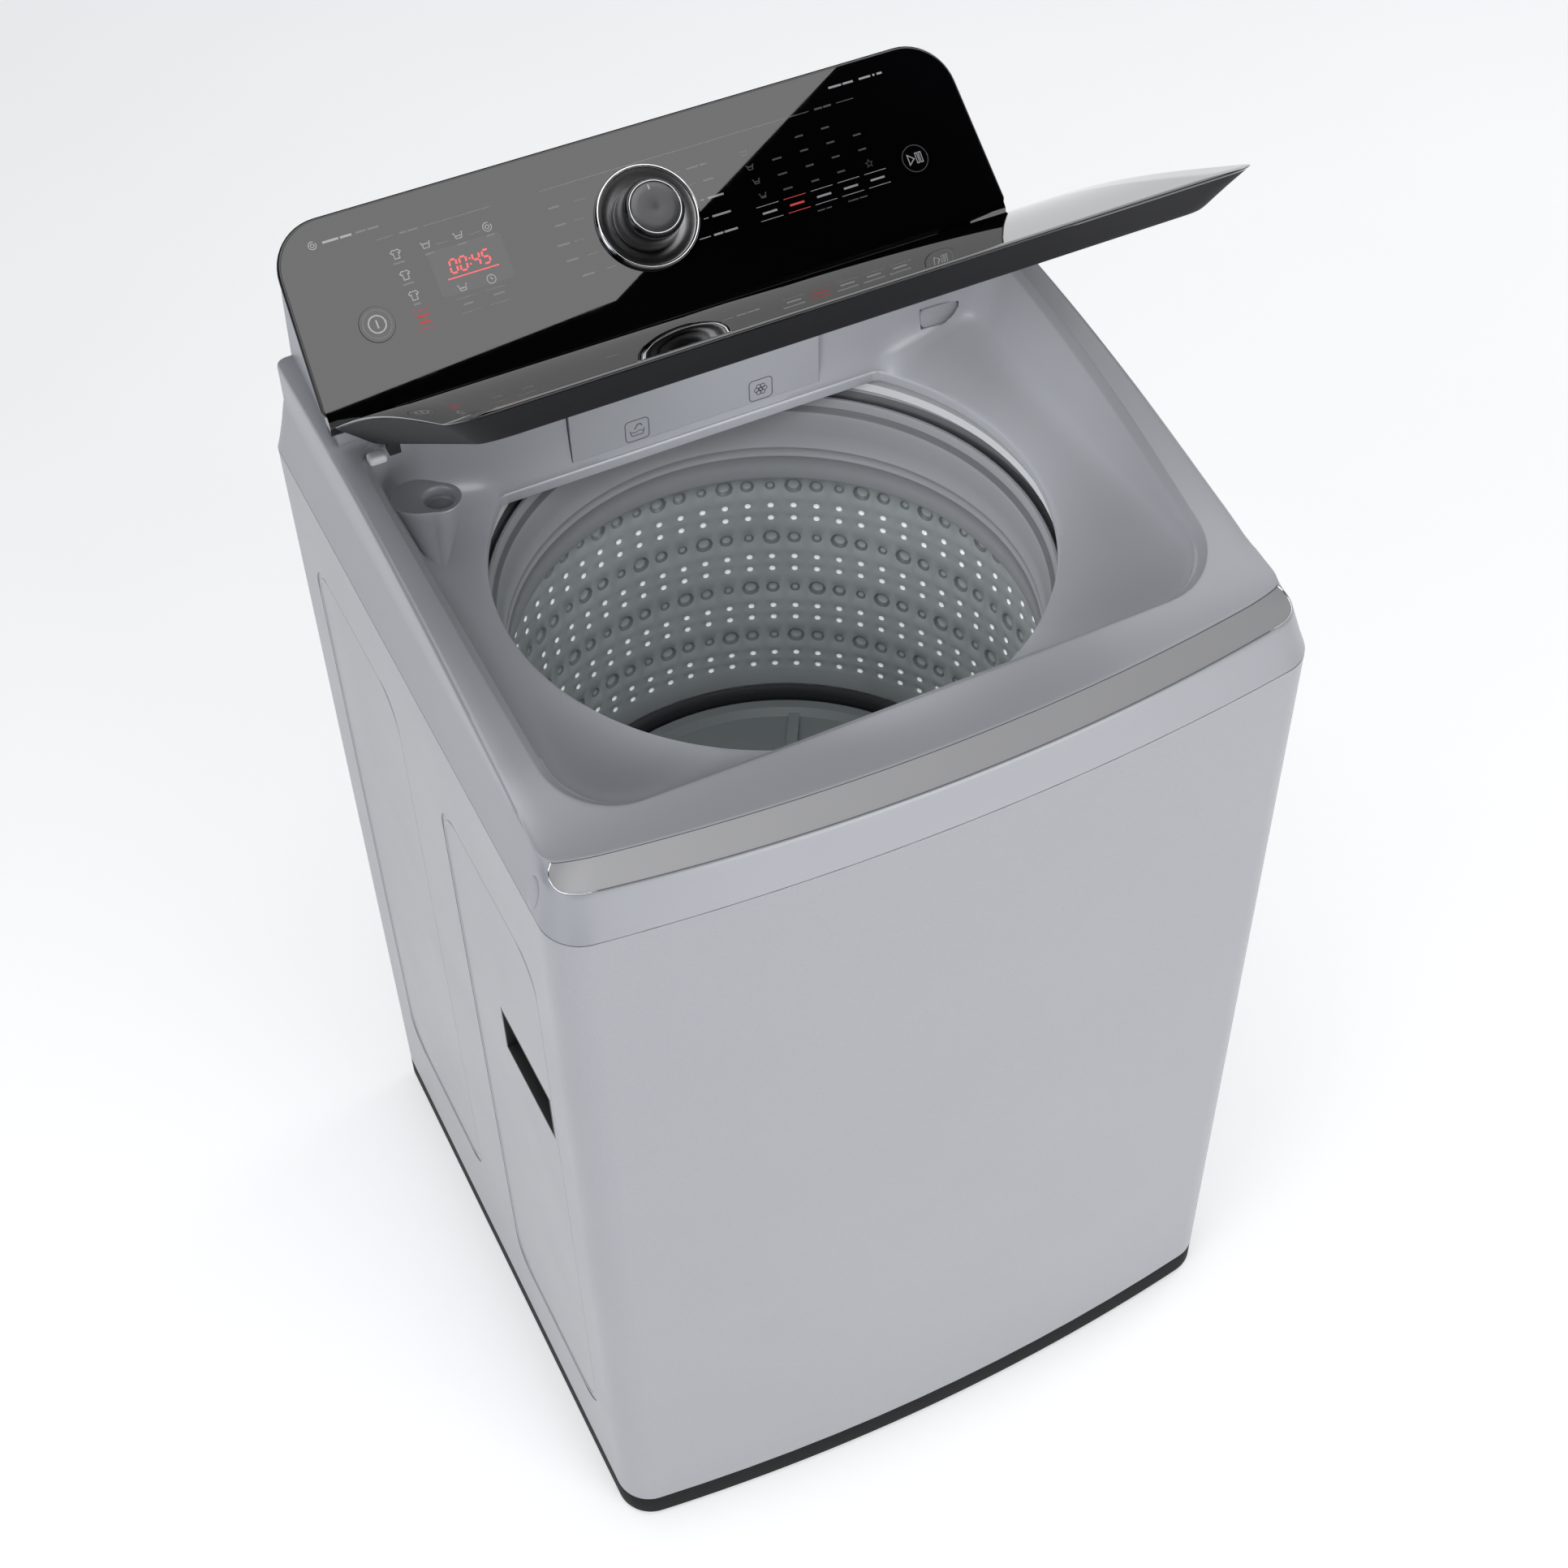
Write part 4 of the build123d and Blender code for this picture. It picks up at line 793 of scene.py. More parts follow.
def rounded(corners):
    """A closed polyline from (x, y, radius) corners, each turned into an arc."""
    path = []
    count = len(corners)
    for i, (x, y, radius) in enumerate(corners):
        here = Vector((x, y))
        if radius <= 0:
            path.append((x, y))
            continue
        before = (Vector(corners[i - 1][:2]) - here).normalized()
        after = (Vector(corners[(i + 1) % count][:2]) - here).normalized()
        half = before.angle(after) / 2
        centre = here + (before + after).normalized() * (radius / math.sin(half))
        start = here + before * (radius / math.tan(half)) - centre
        sweep = math.pi - 2 * half
        turn = -1 if before.cross(after) > 0 else 1
        for k in range(13):
            angle = turn * sweep * k / 12
            c, q = math.cos(angle), math.sin(angle)
            path.append((centre.x + start.x * c - start.y * q,
                         centre.y + start.x * q + start.y * c))
    return path


def rectangle(x0, x1, y0, y1, radius):
    """A rounded rectangle between two corners, as a closed polyline."""
    return rounded([(x0, y0, radius), (x1, y0, radius), (x1, y1, radius), (x0, y1, radius)])


def bowed(half, front, bow, back, front_r, back_r):
    """A rectangle whose front edge is bowed, as a closed polyline."""
    circle_r = (half ** 2 + bow ** 2) / (2 * bow)
    middle = front - bow + circle_r
    corners = [(-half, front, front_r)]
    inside = half - 1.3 * front_r
    for k in range(25):
        x = -inside + 2 * inside * k / 24
        corners.append((x, middle - math.sqrt(circle_r ** 2 - x ** 2), 0))
    corners += [(half, front, front_r), (half, back, back_r), (-half, back, back_r)]
    return rounded(corners)


def tray(half, front, back, front_r, back_r):
    """A rectangle with its own radius at the front and at the back."""
    return rounded([(-half, front, front_r), (half, front, front_r), (half, back, back_r),
                    (-half, back, back_r)])


def opening(radius, cut_y, centre_y):
    """A circle with a straight cut across its back."""
    path = []
    for k in range(181):
        angle = 2 * math.pi * k / 180
        path.append((radius * math.cos(angle), min(cut_y, centre_y + radius * math.sin(angle))))
    return path[:-1]


def reach(path, angles, middle=SHELL_MID):
    """How far a closed polyline lies from a point inside it at each angle."""
    start = np.array(path) - np.array(middle)
    along = np.roll(start, -1, axis=0) - start
    ray = np.stack([np.cos(angles), np.sin(angles)], axis=1)
    cross = ray[:, None, 0] * along[None, :, 1] - ray[:, None, 1] * along[None, :, 0]
    cross = np.where(np.abs(cross) < 1e-9, 1e-9, cross)
    distance = (start[:, 0] * along[:, 1] - start[:, 1] * along[:, 0])[None, :] / cross
    share = (start[None, :, 0] * ray[:, None, 1] - start[None, :, 1] * ray[:, None, 0]) / cross
    hit = (share > -1e-6) & (share < 1 + 1e-6) & (distance > 0)
    return np.where(hit, distance, 0).max(axis=1)


def loop_solid(name, loops, angles, finish, body, replaced=(), middle=SHELL_MID,
               capped=False, sharp=None):
    """A closed solid from loops of radius and height in mm round a middle line."""
    rings = [[Vector((middle[0] + radius * math.cos(angle), middle[1] + radius * math.sin(angle),
                      z)) * MM for angle, radius, z in zip(angles, radii, heights)]
             for radii, heights in loops]
    return lofted(name, rings, finish, body, replaced, capped, sharp)


def facia_edge():
    """The black rounded edge all round the console's glass."""
    outline = rounded([(-254.4, -DIAL_UP - 0.3, 3), (254.4, -DIAL_UP - 0.3, 3),
                       (247.9, 123.7 - DIAL_UP, 34), (-247.9, 123.7 - DIAL_UP, 34)])
    path = [on_facia(x, y, -2.6) for x, y in outline]
    bead(path, 2.1, "facia_edge", "knob", "cabinet", closed=True)


# ------------------------------------------------------------------ top cover
SEAM_FRONT = (-250.7, 747.3)
SEAM_BACK = (250.7, 761.2)
SHOULDER_RISE = 31.0
SHOULDER_TO_EDGE = 12.0
DECK_POINTS = ((-216.4, 788.4), (-145, 800.8), (-27, 821), (60, 830.8), (122, 834.0))
WAIST_Z = 776.0
LIP_PLANE_Z = 850.0
RIM_Z = 755.0
NECK_Z = 747.0
RIM_R = 193.5
RIM_CUT_Y = 131.0
TUB_Y = 5.0
LIP_ROLL = 6.0
LIP_PROFILE = ((1.0, 0.0), (0.95, 0.015), (0.88, 0.07), (0.24, 0.62), (0.12, 0.74), (0.04, 0.86),
               (0.0, 1.0))
EDGE_ROLL = 3.0
SHELL_T = 2.6
NECK_PROFILE = ((1.1, RIM_Z + 0.6), (0.3, RIM_Z - 0.4), (0.0, RIM_Z - 1.6), (0.0, NECK_Z + 0.6),
                (0.5, NECK_Z), (SHELL_T, NECK_Z), (SHELL_T, RIM_Z - 3))
STRIP_END_X = 255.0
STRIP_CORNER = 15.0
STRIP_WIDTH = 25.0
STRIP_LIFT = 0.7
STRIP_EDGE = 34.0
STRIP_BACK_Y = -200.0
STRIP_ROWS = 7
STRIP_FROM = 0.05  # shares of the way up the slope
STRIP_TO = 0.97
BOSS_CENTRE = (-205.0, 80.0)
BOSS_TIP = (-212.0, 72.0)
BOSS_TOP_Z = 819.0
BOSS_TIP_Z = 766.0
BOSS_WALL_SIDE = (-0.86, 0.5)
# radius, drop below the top and pull towards the wall, out of the rim and down the pocket
BOSS_RIM = ((15.2, 1.2, 18), (15.1, 0.5, 18), (14.6, 0, 18), (12.2, 0, 0), (11.2, 0.4, 0),
            (10.6, 1.4, 0), (10.4, 8, 0), (9.4, 9, 0))
STOP_X = 232.0
STOP_Y = 118.0
# half sizes across and along, and height, from the foot up
STOP_LOOPS = ((6.0, 4.6, 832.8), (6.0, 4.6, 836.4), (5.2, 3.8, 837.6), (4.0, 2.6, 838.0))


def seam_height(y):
    """The height of the seam between the cover and the cabinet."""
    return SEAM_FRONT[1] + (y - SEAM_FRONT[0]) * (SEAM_BACK[1] - SEAM_FRONT[1]) / (
        SEAM_BACK[0] - SEAM_FRONT[0])


def deck_height(y):
    """The deck's side profile: a smooth rise between its flat front and the rear ledge."""
    ys = np.array([p[0] for p in DECK_POINTS])
    zs = np.array([p[1] for p in DECK_POINTS])
    slopes = np.gradient(zs, ys)
    slopes[0] = slopes[-1] = 0.0
    at = np.clip(y, ys[0], ys[-1])
    i = np.clip(np.searchsorted(ys, at, side="right") - 1, 0, len(ys) - 2)
    span = ys[i + 1] - ys[i]
    t = (at - ys[i]) / span
    return ((2 * t ** 3 - 3 * t ** 2 + 1) * zs[i] + (t ** 3 - 2 * t ** 2 + t) * span * slopes[i]
            + (3 * t ** 2 - 2 * t ** 3) * zs[i + 1] + (t ** 3 - t ** 2) * span * slopes[i + 1])


class CoverShape:
    """The top cover's section at every angle, as loops of radius and height."""

    def __init__(self, angles):
        self.angles = angles
        self.sines = np.sin(angles)
        self.seam_r = reach(bowed(*CABINET_PLAN), angles)
        self.shoulder_r = reach(bowed(262, -238.5, 24.7, 248.5, 24, 7), angles)
        self.edge_r = reach(bowed(259, -214.4, 24.7, 248.5, 14, 7), angles)
        self.lip_r = reach(tray(242, -204, 138, 45, 30), angles)
        self.waist_r = reach(tray(224, -192, 135, 46, 30), angles)
        self.rim_r = reach(opening(RIM_R, RIM_CUT_Y, TUB_Y), angles)
        self.seam_z = seam_height(self.y(self.seam_r))
        self.shoulder_z = seam_height(self.y(self.shoulder_r)) + SHOULDER_RISE
        self.edge_z = deck_height(self.y(self.edge_r))
        self.slope = np.clip((self.edge_z - self.shoulder_z) / SHOULDER_TO_EDGE, 0, 1)
        self.top_r = self.mix(self.shoulder_r, self.edge_r, self.slope)
        self.mouth_z = deck_height(self.y(self.wall(self.edge_z)))
        self.mouth_r = self.wall(self.mouth_z)

    def y(self, radius):
        """How far back a radius lies at every angle."""
        return SHELL_MID[1] + radius * self.sines

    @staticmethod
    def mix(a, b, t):
        """A value between two."""
        return a + (b - a) * t

    def wall(self, z):
        """Radius of the recess's wall at a height."""
        return self.mix(self.waist_r, self.lip_r, (z - WAIST_Z) / (LIP_PLANE_Z - WAIST_Z))

    def apron_loops(self):
        """From the seam's outer edge up the apron to the rolled edge of the deck."""
        mix = self.mix
        made = [(self.seam_r - inset, self.seam_z + rise)
                for inset, rise in ((1.2, 0.0), (0.35, 0.35), (0.0, 1.2))]
        made += [(mix(self.seam_r, self.shoulder_r, t), mix(self.seam_z, self.shoulder_z, t))
                 for t in (0.3, 0.6, 0.9, 0.975)]
        turn_z = np.minimum(self.shoulder_z + SHOULDER_TO_EDGE, self.edge_z)
        made += [(mix(self.shoulder_r, self.top_r, t), mix(self.shoulder_z, turn_z, t))
                 for t in (0.03, 0.3, 0.6, 0.94)]
        low_z = np.maximum(self.edge_z - EDGE_ROLL, mix(self.shoulder_z, turn_z, 0.97))
        made.append((self.top_r, mix(turn_z, low_z, 0.5)))
        for k in range(4):
            angle = math.pi / 2 * k / 3
            radius = self.top_r - EDGE_ROLL * (1 - math.cos(angle))
            made.append((radius, low_z + (self.edge_z - low_z) * math.sin(angle)))
        return made

    def deck_loops(self):
        """Across the deck and over the lip of the recess."""
        made = []
        for t in (0.06, 0.5, 0.94, 0.99):
            radius = self.mix(self.top_r - EDGE_ROLL, self.mouth_r + LIP_ROLL, t)
            made.append((radius, deck_height(self.y(radius))))
        for out, fall in LIP_PROFILE:
            radius = self.mouth_r + LIP_ROLL * out
            made.append((radius, deck_height(self.y(radius)) - (0.1 + LIP_ROLL * fall)))
        return made

    def recess_loops(self):
        """Down the recess's wall, round its waist, and down the funnel and the neck."""
        mix = self.mix
        level = np.ones_like(self.angles)
        top = self.mouth_z - LIP_ROLL - 0.4
        bend_top = np.minimum(WAIST_Z + 14, top - 0.5)
        made = [(self.wall(z), z) for z in (mix(top, bend_top, t) for t in (0.3, 0.65))]
        start = (self.wall(bend_top), bend_top)
        knee = (self.waist_r, WAIST_Z * level)
        end = (mix(self.waist_r, self.rim_r, 0.42), mix(WAIST_Z, RIM_Z, 0.42) * level)
        for k in range(8):
            t = k / 7
            made.append(tuple((1 - t) ** 2 * a + 2 * t * (1 - t) * b + t * t * c
                              for a, b, c in zip(start, knee, end)))
        made += [(mix(self.waist_r, self.rim_r, t), mix(WAIST_Z, RIM_Z, t) * level)
                 for t in (0.7, 0.9)]
        made += [(self.rim_r + back, z * level) for back, z in NECK_PROFILE]
        return made

    def under_loops(self):
        """Back under the funnel, the recess's wall, the deck and the apron."""
        mix = self.mix
        level = np.ones_like(self.angles)
        inner = self.mouth_r + LIP_ROLL
        made = [(mix(self.rim_r, self.waist_r, t) + SHELL_T,
                 (mix(RIM_Z, WAIST_Z, t) - SHELL_T) * level) for t in (0.5, 1.0)]
        made.append((self.mouth_r + SHELL_T, self.mouth_z - LIP_ROLL - SHELL_T))
        made.append((inner, deck_height(self.y(inner)) - SHELL_T - 0.5))
        made.append((self.top_r - EDGE_ROLL - 1, self.edge_z - SHELL_T - 0.5))
        made.append((self.shoulder_r - SHELL_T - 0.6, self.shoulder_z - SHELL_T))
        made.append((self.seam_r - SHELL_T, self.seam_z))
        return made

    def loops(self):
        """The whole closed section, from the seam's outer edge round to its inner edge."""
        return self.apron_loops() + self.deck_loops() + self.recess_loops() + self.under_loops()

    def slope_point(self, i, t, lift):
        """A point on the sloped front strip between shoulder and deck edge."""
        radius = self.mix(self.shoulder_r[i], self.top_r[i], t)
        z = self.mix(self.shoulder_z[i], self.edge_z[i], t)
        across = Vector((self.top_r[i] - self.shoulder_r[i], self.edge_z[i] - self.shoulder_z[i]))
        normal = Vector((across.y, -across.x)).normalized()
        radius += normal.x * lift
        z += normal.y * lift
        return Vector((SHELL_MID[0] + radius * math.cos(self.angles[i]),
                       SHELL_MID[1] + radius * math.sin(self.angles[i]), z)) * MM


def top_cover():
    """The moulded cover: apron, shoulder, rolled deck, recess, funnel and neck."""
    angles = corner_angles(SHELL_MID, SHELL_CORNERS)
    shape = CoverShape(angles)
    made = loop_solid("top_cover_shell", shape.loops(), angles, "cover", "cabinet",
                      ("top_cover",))
    carve(made, [node_cutter("drawer_front", 0.5, 14, 0.5), node_cutter("lid_lock", 0.2, 3, 0.2),
                 node_cutter("inlet_valve")])
    smooth_by_angle(made, 32)
    front_strip(shape)


def front_strip(shape):
    """The satin strip on the sloped front, with thin bright edges at its ends."""
    columns = [i for i, angle in enumerate(shape.angles)
               if math.sin(angle) < 0 and abs(shape.top_r[i] * math.cos(angle)) <= STRIP_END_X
               and shape.y(shape.top_r)[i] < STRIP_BACK_Y]
    columns.sort(key=lambda i: shape.angles[i])
    length = [0.0]
    for a, b in zip(columns, columns[1:]):
        gap = (shape.slope_point(b, 0, 0) - shape.slope_point(a, 0, 0)).length / MM
        length.append(length[-1] + gap)
    whole = length[-1]
    rows = STRIP_ROWS
    top_points = []
    low_points = []
    for i, s in zip(columns, length):
        inset = max(0.0, STRIP_CORNER - min(s, whole - s))
        foot = (STRIP_CORNER - math.sqrt(max(0.0, STRIP_CORNER ** 2 - inset ** 2))) / STRIP_WIDTH
        start = STRIP_FROM + foot * 0.9
        for r in range(rows):
            t = start + (STRIP_TO - start) * r / (rows - 1)
            top_points.append(shape.slope_point(i, t, STRIP_LIFT))
            low_points.append(shape.slope_point(i, t, -0.3))
    count = len(columns)
    base = len(top_points)
    faces = []
    for c in range(count - 1):
        for r in range(rows - 1):
            a = c * rows + r
            faces.append((a, a + rows, a + rows + 1, a + 1))
            faces.append((base + a, base + a + 1, base + a + rows + 1, base + a + rows))
        for a in (c * rows, c * rows + rows - 1):
            faces.append((a, base + a, base + a + rows, a + rows))
    for c in (0, count - 1):
        for a in range(c * rows, c * rows + rows - 1):
            faces.append((a, a + 1, base + a + 1, base + a))
    made = piece("front_strip", top_points + low_points, faces, "trim", "cabinet",
                 ("front_trim",))
    smooth_by_angle(weld(made), 40)

    def line(row, low, high):
        """The strip's points along one row, between two lengths."""
        return [top_points[c * rows + row] for c in range(count) if low < length[c] < high]

    past = whole + 1
    last = (count - 1) * rows
    left = [top_points[r] for r in range(rows - 1, 0, -1)] + line(0, -1, STRIP_EDGE)
    right = line(0, whole - STRIP_EDGE, past) + [top_points[last + r] for r in range(1, rows)]
    bead(left, 0.55, "strip_edge_left", "edge", "cabinet")
    bead(right, 0.55, "strip_edge_right", "edge", "cabinet")
    bead(line(0, STRIP_EDGE, whole - STRIP_EDGE), 0.3, "strip_seam_foot", "icon", "cabinet")
    bead(line(rows - 1, -1, past), 0.3, "strip_seam_top", "icon", "cabinet")


def corner_boss():
    """The pointed bracket with a round blind pocket in the recess's back left corner."""
    centre = Vector(BOSS_CENTRE)
    tip = Vector(BOSS_TIP)
    wall_side = Vector(BOSS_WALL_SIDE)
    sections = []
    for t in (0.0, 0.15, 0.4, 0.7, 0.9):
        z = BOSS_TIP_Z + (BOSS_TOP_Z - BOSS_TIP_Z) * t ** 1.1
        sections.append((tip + (centre - tip) * t, 2.0 + 13.0 * t ** 0.9, z, 4 + 14 * t))
    sections += [(centre, radius, BOSS_TOP_Z - drop, pull) for radius, drop, pull in BOSS_RIM]
    loops = []
    for middle, radius, z, pull in sections:
        loop = []
        for c, s in circle(64):
            direction = Vector((c, s))
            outward = max(0.0, direction.dot(wall_side))
            place = middle + direction * (radius + pull * outward ** 2)
            loop.append(Vector((place.x, place.y, z)) * MM)
        loops.append(loop)
    lofted("corner_boss", loops, "cover", "cabinet", ("top_cover",), sharp=40)


def hinge_stops():
    """A pale buffer beside each hinge that the lid rests on."""
    for side, name in SIDES:
        x = side * STOP_X
        loops = [[Vector((px, py, z)) * MM for px, py in
                  rectangle(x - half_x, x + half_x, STOP_Y - half_y, STOP_Y + half_y, 2)]
                 for half_x, half_y, z in STOP_LOOPS]
        lofted(f"hinge_stop_{name}", loops, "valve", "cabinet", sharp=40)


# ------------------------------------------------------------------ lid
LID_MID = (0.0, 174.0)
LID_CORNERS = ((240, 18), (246, 344))
LID_THICK = 17.5
LID_CROWN = 7.0
LID_LENGTH = 349.0
LID_OPEN = 37.1  # the tilt of its top as stored, in degrees
PIVOT_V = 344.0  # the pin in the lid's own frame, back and up
PIVOT_W = -9.35
HINGE_X = 218.0
EAR_APART = 7.8  # from the hinge's middle to each ear's
EAR_R = 5.2


def lid_outline(inset, w):
    """The lid's outline at a depth below its top: tapered towards its underside."""
    t = -w / LID_THICK
    return tray(254 - 22 * t - inset, 32 * t + inset, LID_LENGTH - 9 * t - inset,
                max(6, 22 - 2 * t - inset), max(3, 8 - inset))


def lid_matrix():
    """From the lid's own frame (across, back, up) in metres to the CAD frame, as stored."""
    tilt = math.radians(LID_OPEN)
    along = Vector((0, math.cos(tilt), -math.sin(tilt)))
    up = Vector((0, math.sin(tilt), math.cos(tilt)))
    low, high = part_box("lid_glass")
    start = Vector((0, low.y + (4 * math.sin(tilt) - 3 * math.cos(tilt)) * MM,
                    high.z + 3 * math.sin(tilt) * MM))
    turn = Matrix((Vector((1, 0, 0)), along, up)).transposed().to_4x4()
    return Matrix.Translation(start) @ turn


def crowned(made):
    """Raise the top of a lid piece in a shallow crown, then put it in place."""
    for vertex in made.data.vertices:
        v = min(1.0, max(0.0, vertex.co.y / (LID_LENGTH * MM)))
        share = 1 + vertex.co.z / (LID_THICK * MM)
        vertex.co.z += LID_CROWN * MM * math.sin(math.pi * v ** 1.1) * max(0.0, share)
    made.data.transform(lid_matrix())
    made.data.update()


def lid():
    """The tapered black rim, hollow below, and the dark glass that covers its whole top."""
    angles = corner_angles(LID_MID, LID_CORNERS)

    def level(radius, w):
        """A loop of the given radii at one depth."""
        return radius, np.full_like(radius, w)

    def levels(*rows):
        """Loops of the lid's outline from (inset, depth) pairs."""
        return [level(reach(lid_outline(inset, w), angles, LID_MID), w) for inset, w in rows]

    window = reach(tray(192, 56, 300, 24, 24), angles, LID_MID)
    rim = levels((0, -1.7), (0, -3), (0, -8), (0, -12), (0, -15.6), (0.35, -16.6), (1.1, -17.3),
                 (2.0, -17.5), (3.2, -17.5), (4.0, -17.0), (4.2, -15), (4.4, -9), (5.4, -7.2),
                 (8, -6.5))
    rim += [level(window + 1.2, -6.5), level(window, -5.9), level(window, -4.15)]
    rim += levels((3.4, -4.15), (3.4, -1.7))
    frame_piece = loop_solid("lid_rim", rim, angles, "lid", "lid",
                             ("lid_frame",), middle=LID_MID)
    slots = []
    for side, _ in SIDES:
        x0 = side * HINGE_X - 4.6
        slots.append(box_cutter(Vector((x0, 334, -30)) * MM, Vector((x0 + 9.2, 360, -4.5)) * MM))
    carve(frame_piece, slots)
    top = reach(lid_outline(1.2, 0), angles, LID_MID)
    glass = [level(top * share, 0) for share in (0.04, 0.3, 0.55, 0.75, 0.9)]
    glass += levels((1.2, 0), (0.5, -0.2), (0.15, -0.55), (0.0, -1.1), (0.1, -1.6), (3.3, -1.62),
                    (3.5, -4.0))
    sheet = loop_solid("lid_glass_sheet", glass, angles, "gloss", "lid",
                       ("lid_glass",), middle=LID_MID, capped=True)
    for made in (frame_piece, sheet):
        crowned(made)
        smooth_by_angle(made, 34)
    for side, side_name in SIDES:
        for end in (-1, 1):
            place = "in" if side * end < 0 else "out"
            lid_ear(side * HINGE_X + end * EAR_APART, f"lid_ear_{side_name}_{place}")


def lid_ear(x, name):
    """One rounded lug that holds the lid on its pin."""
    profile = [(PIVOT_V - 9, -5.5)]
    for k in range(13):
        angle = math.radians(195 + 150 * k / 12)
        profile.append((PIVOT_V + EAR_R * math.cos(angle), PIVOT_W + EAR_R * math.sin(angle)))
    profile.append((PIVOT_V + 4.6, -5.5))
    middle = Vector((PIVOT_V - 1, PIVOT_W + 1))
    loops = []
    for across, scale in ((-3.5, 0.9), (-2.9, 1.0), (2.9, 1.0), (3.5, 0.9)):
        places = [middle + (Vector(corner) - middle) * scale for corner in profile]
        loops.append([lid_matrix() @ (Vector((x + across, p.x, p.y)) * MM) for p in places])
    lofted(name, loops, "lid", "lid", ("lid_frame",), sharp=40)


# ------------------------------------------------------------------ drum
def tub_place(p):
    """Turn a point of the tub's own axis into the CAD frame."""
    return Vector((p.x, p.y + TUB_Y * MM, p.z))


def balance_ring():
    """The grey ring: an outer land, a deep groove, a bead and a tall inner wall; the groove and
    the crease by the bead are painted dark as painted shade.
    """
    profile = [(188.4, 645.4), (218, 645.4), (220.8, 648), (220.8, 715), (219.6, 718.6),
               (216.5, 721.0), (212, 721.8), (209.4, 721.4), (208.0, 719.6), (207.4, 712),
               (206.4, 709.6), (203.0, 708.8), (200.9, 710), (200.2, 714), (199.6, 717.4),
               (198.2, 718.8), (196.4, 718.6), (195.4, 716.8), (195.0, 711.5), (194.2, 709.6),
               (192.9, 709), (192.0, 707.5), (191.6, 703), (190.6, 690), (190.1, 676.6),
               (189.3, 675.9), (189.2, 675.0), (189.9, 674.3), (189.6, 668.6), (188.8, 667.9),
               (188.7, 667.0), (189.4, 666.3), (188.6, 656), (187.7, 648)]
    made = turned("balance_ring_moulding", profile, 180, tub_place, "ring", "drum",
                  ("balance_ring",))
    made.data.materials.append(MATERIALS["ring_painted_shade"])
    # faces in the groove and the crease take the dark finish: painted shade
    for face in made.data.polygons:
        z = face.center.z / MM
        radius = math.hypot(face.center.x, face.center.y - TUB_Y * MM) / MM
        groove = 200.3 < radius < 207.9 and 707 < z < 716
        crease = 192.4 < radius < 195.3 and 707 < z < 714
        if groove or crease:
            face.material_index = 1
    smooth_by_angle(made, 50)


def drum_floor_ring():
    """The dark raised ring between the drum's floor and the pulsator, with a bright line."""
    profile = [(192.9, 391.6), (203.8, 391.6), (204.3, 394), (203.8, 400), (201.6, 406),
               (199, 409.6), (196.4, 411), (194.4, 410.6), (193.2, 408.6), (192.8, 405)]
    turned("drum_floor_ring", smooth_profile(profile, 1), 144, tub_place, "pulsator_rim",
           "drum", sharp=50)
    line = [tub_place(Vector((199.8 * c, 199.8 * s, 408.9)) * MM) for c, s in circle(144)]
    bead(line, 0.5, "drum_floor_line", "edge", "drum", closed=True)


COLUMNS = 72
ROW_PITCH = 54.0
FIRST_ROW = 76.0
ROWS = 4
HOLE_R = 1.65
DIMPLES = (6.4, 3.4, 4.9)
DIMPLE_DEPTH = 0.46
CELL_SPLITS = 4
# a row's patches, from the middle of its dimples: two of holes, then the dimple's own
CELL_EDGES = (-39.5, -26.5, -13.5, 14.5)
# the wall's finishes: plain steel, the holes' painted glow, and painted shade on the dimples'
# slopes
PLAIN, HOLE_GLOW, SHADE = range(3)


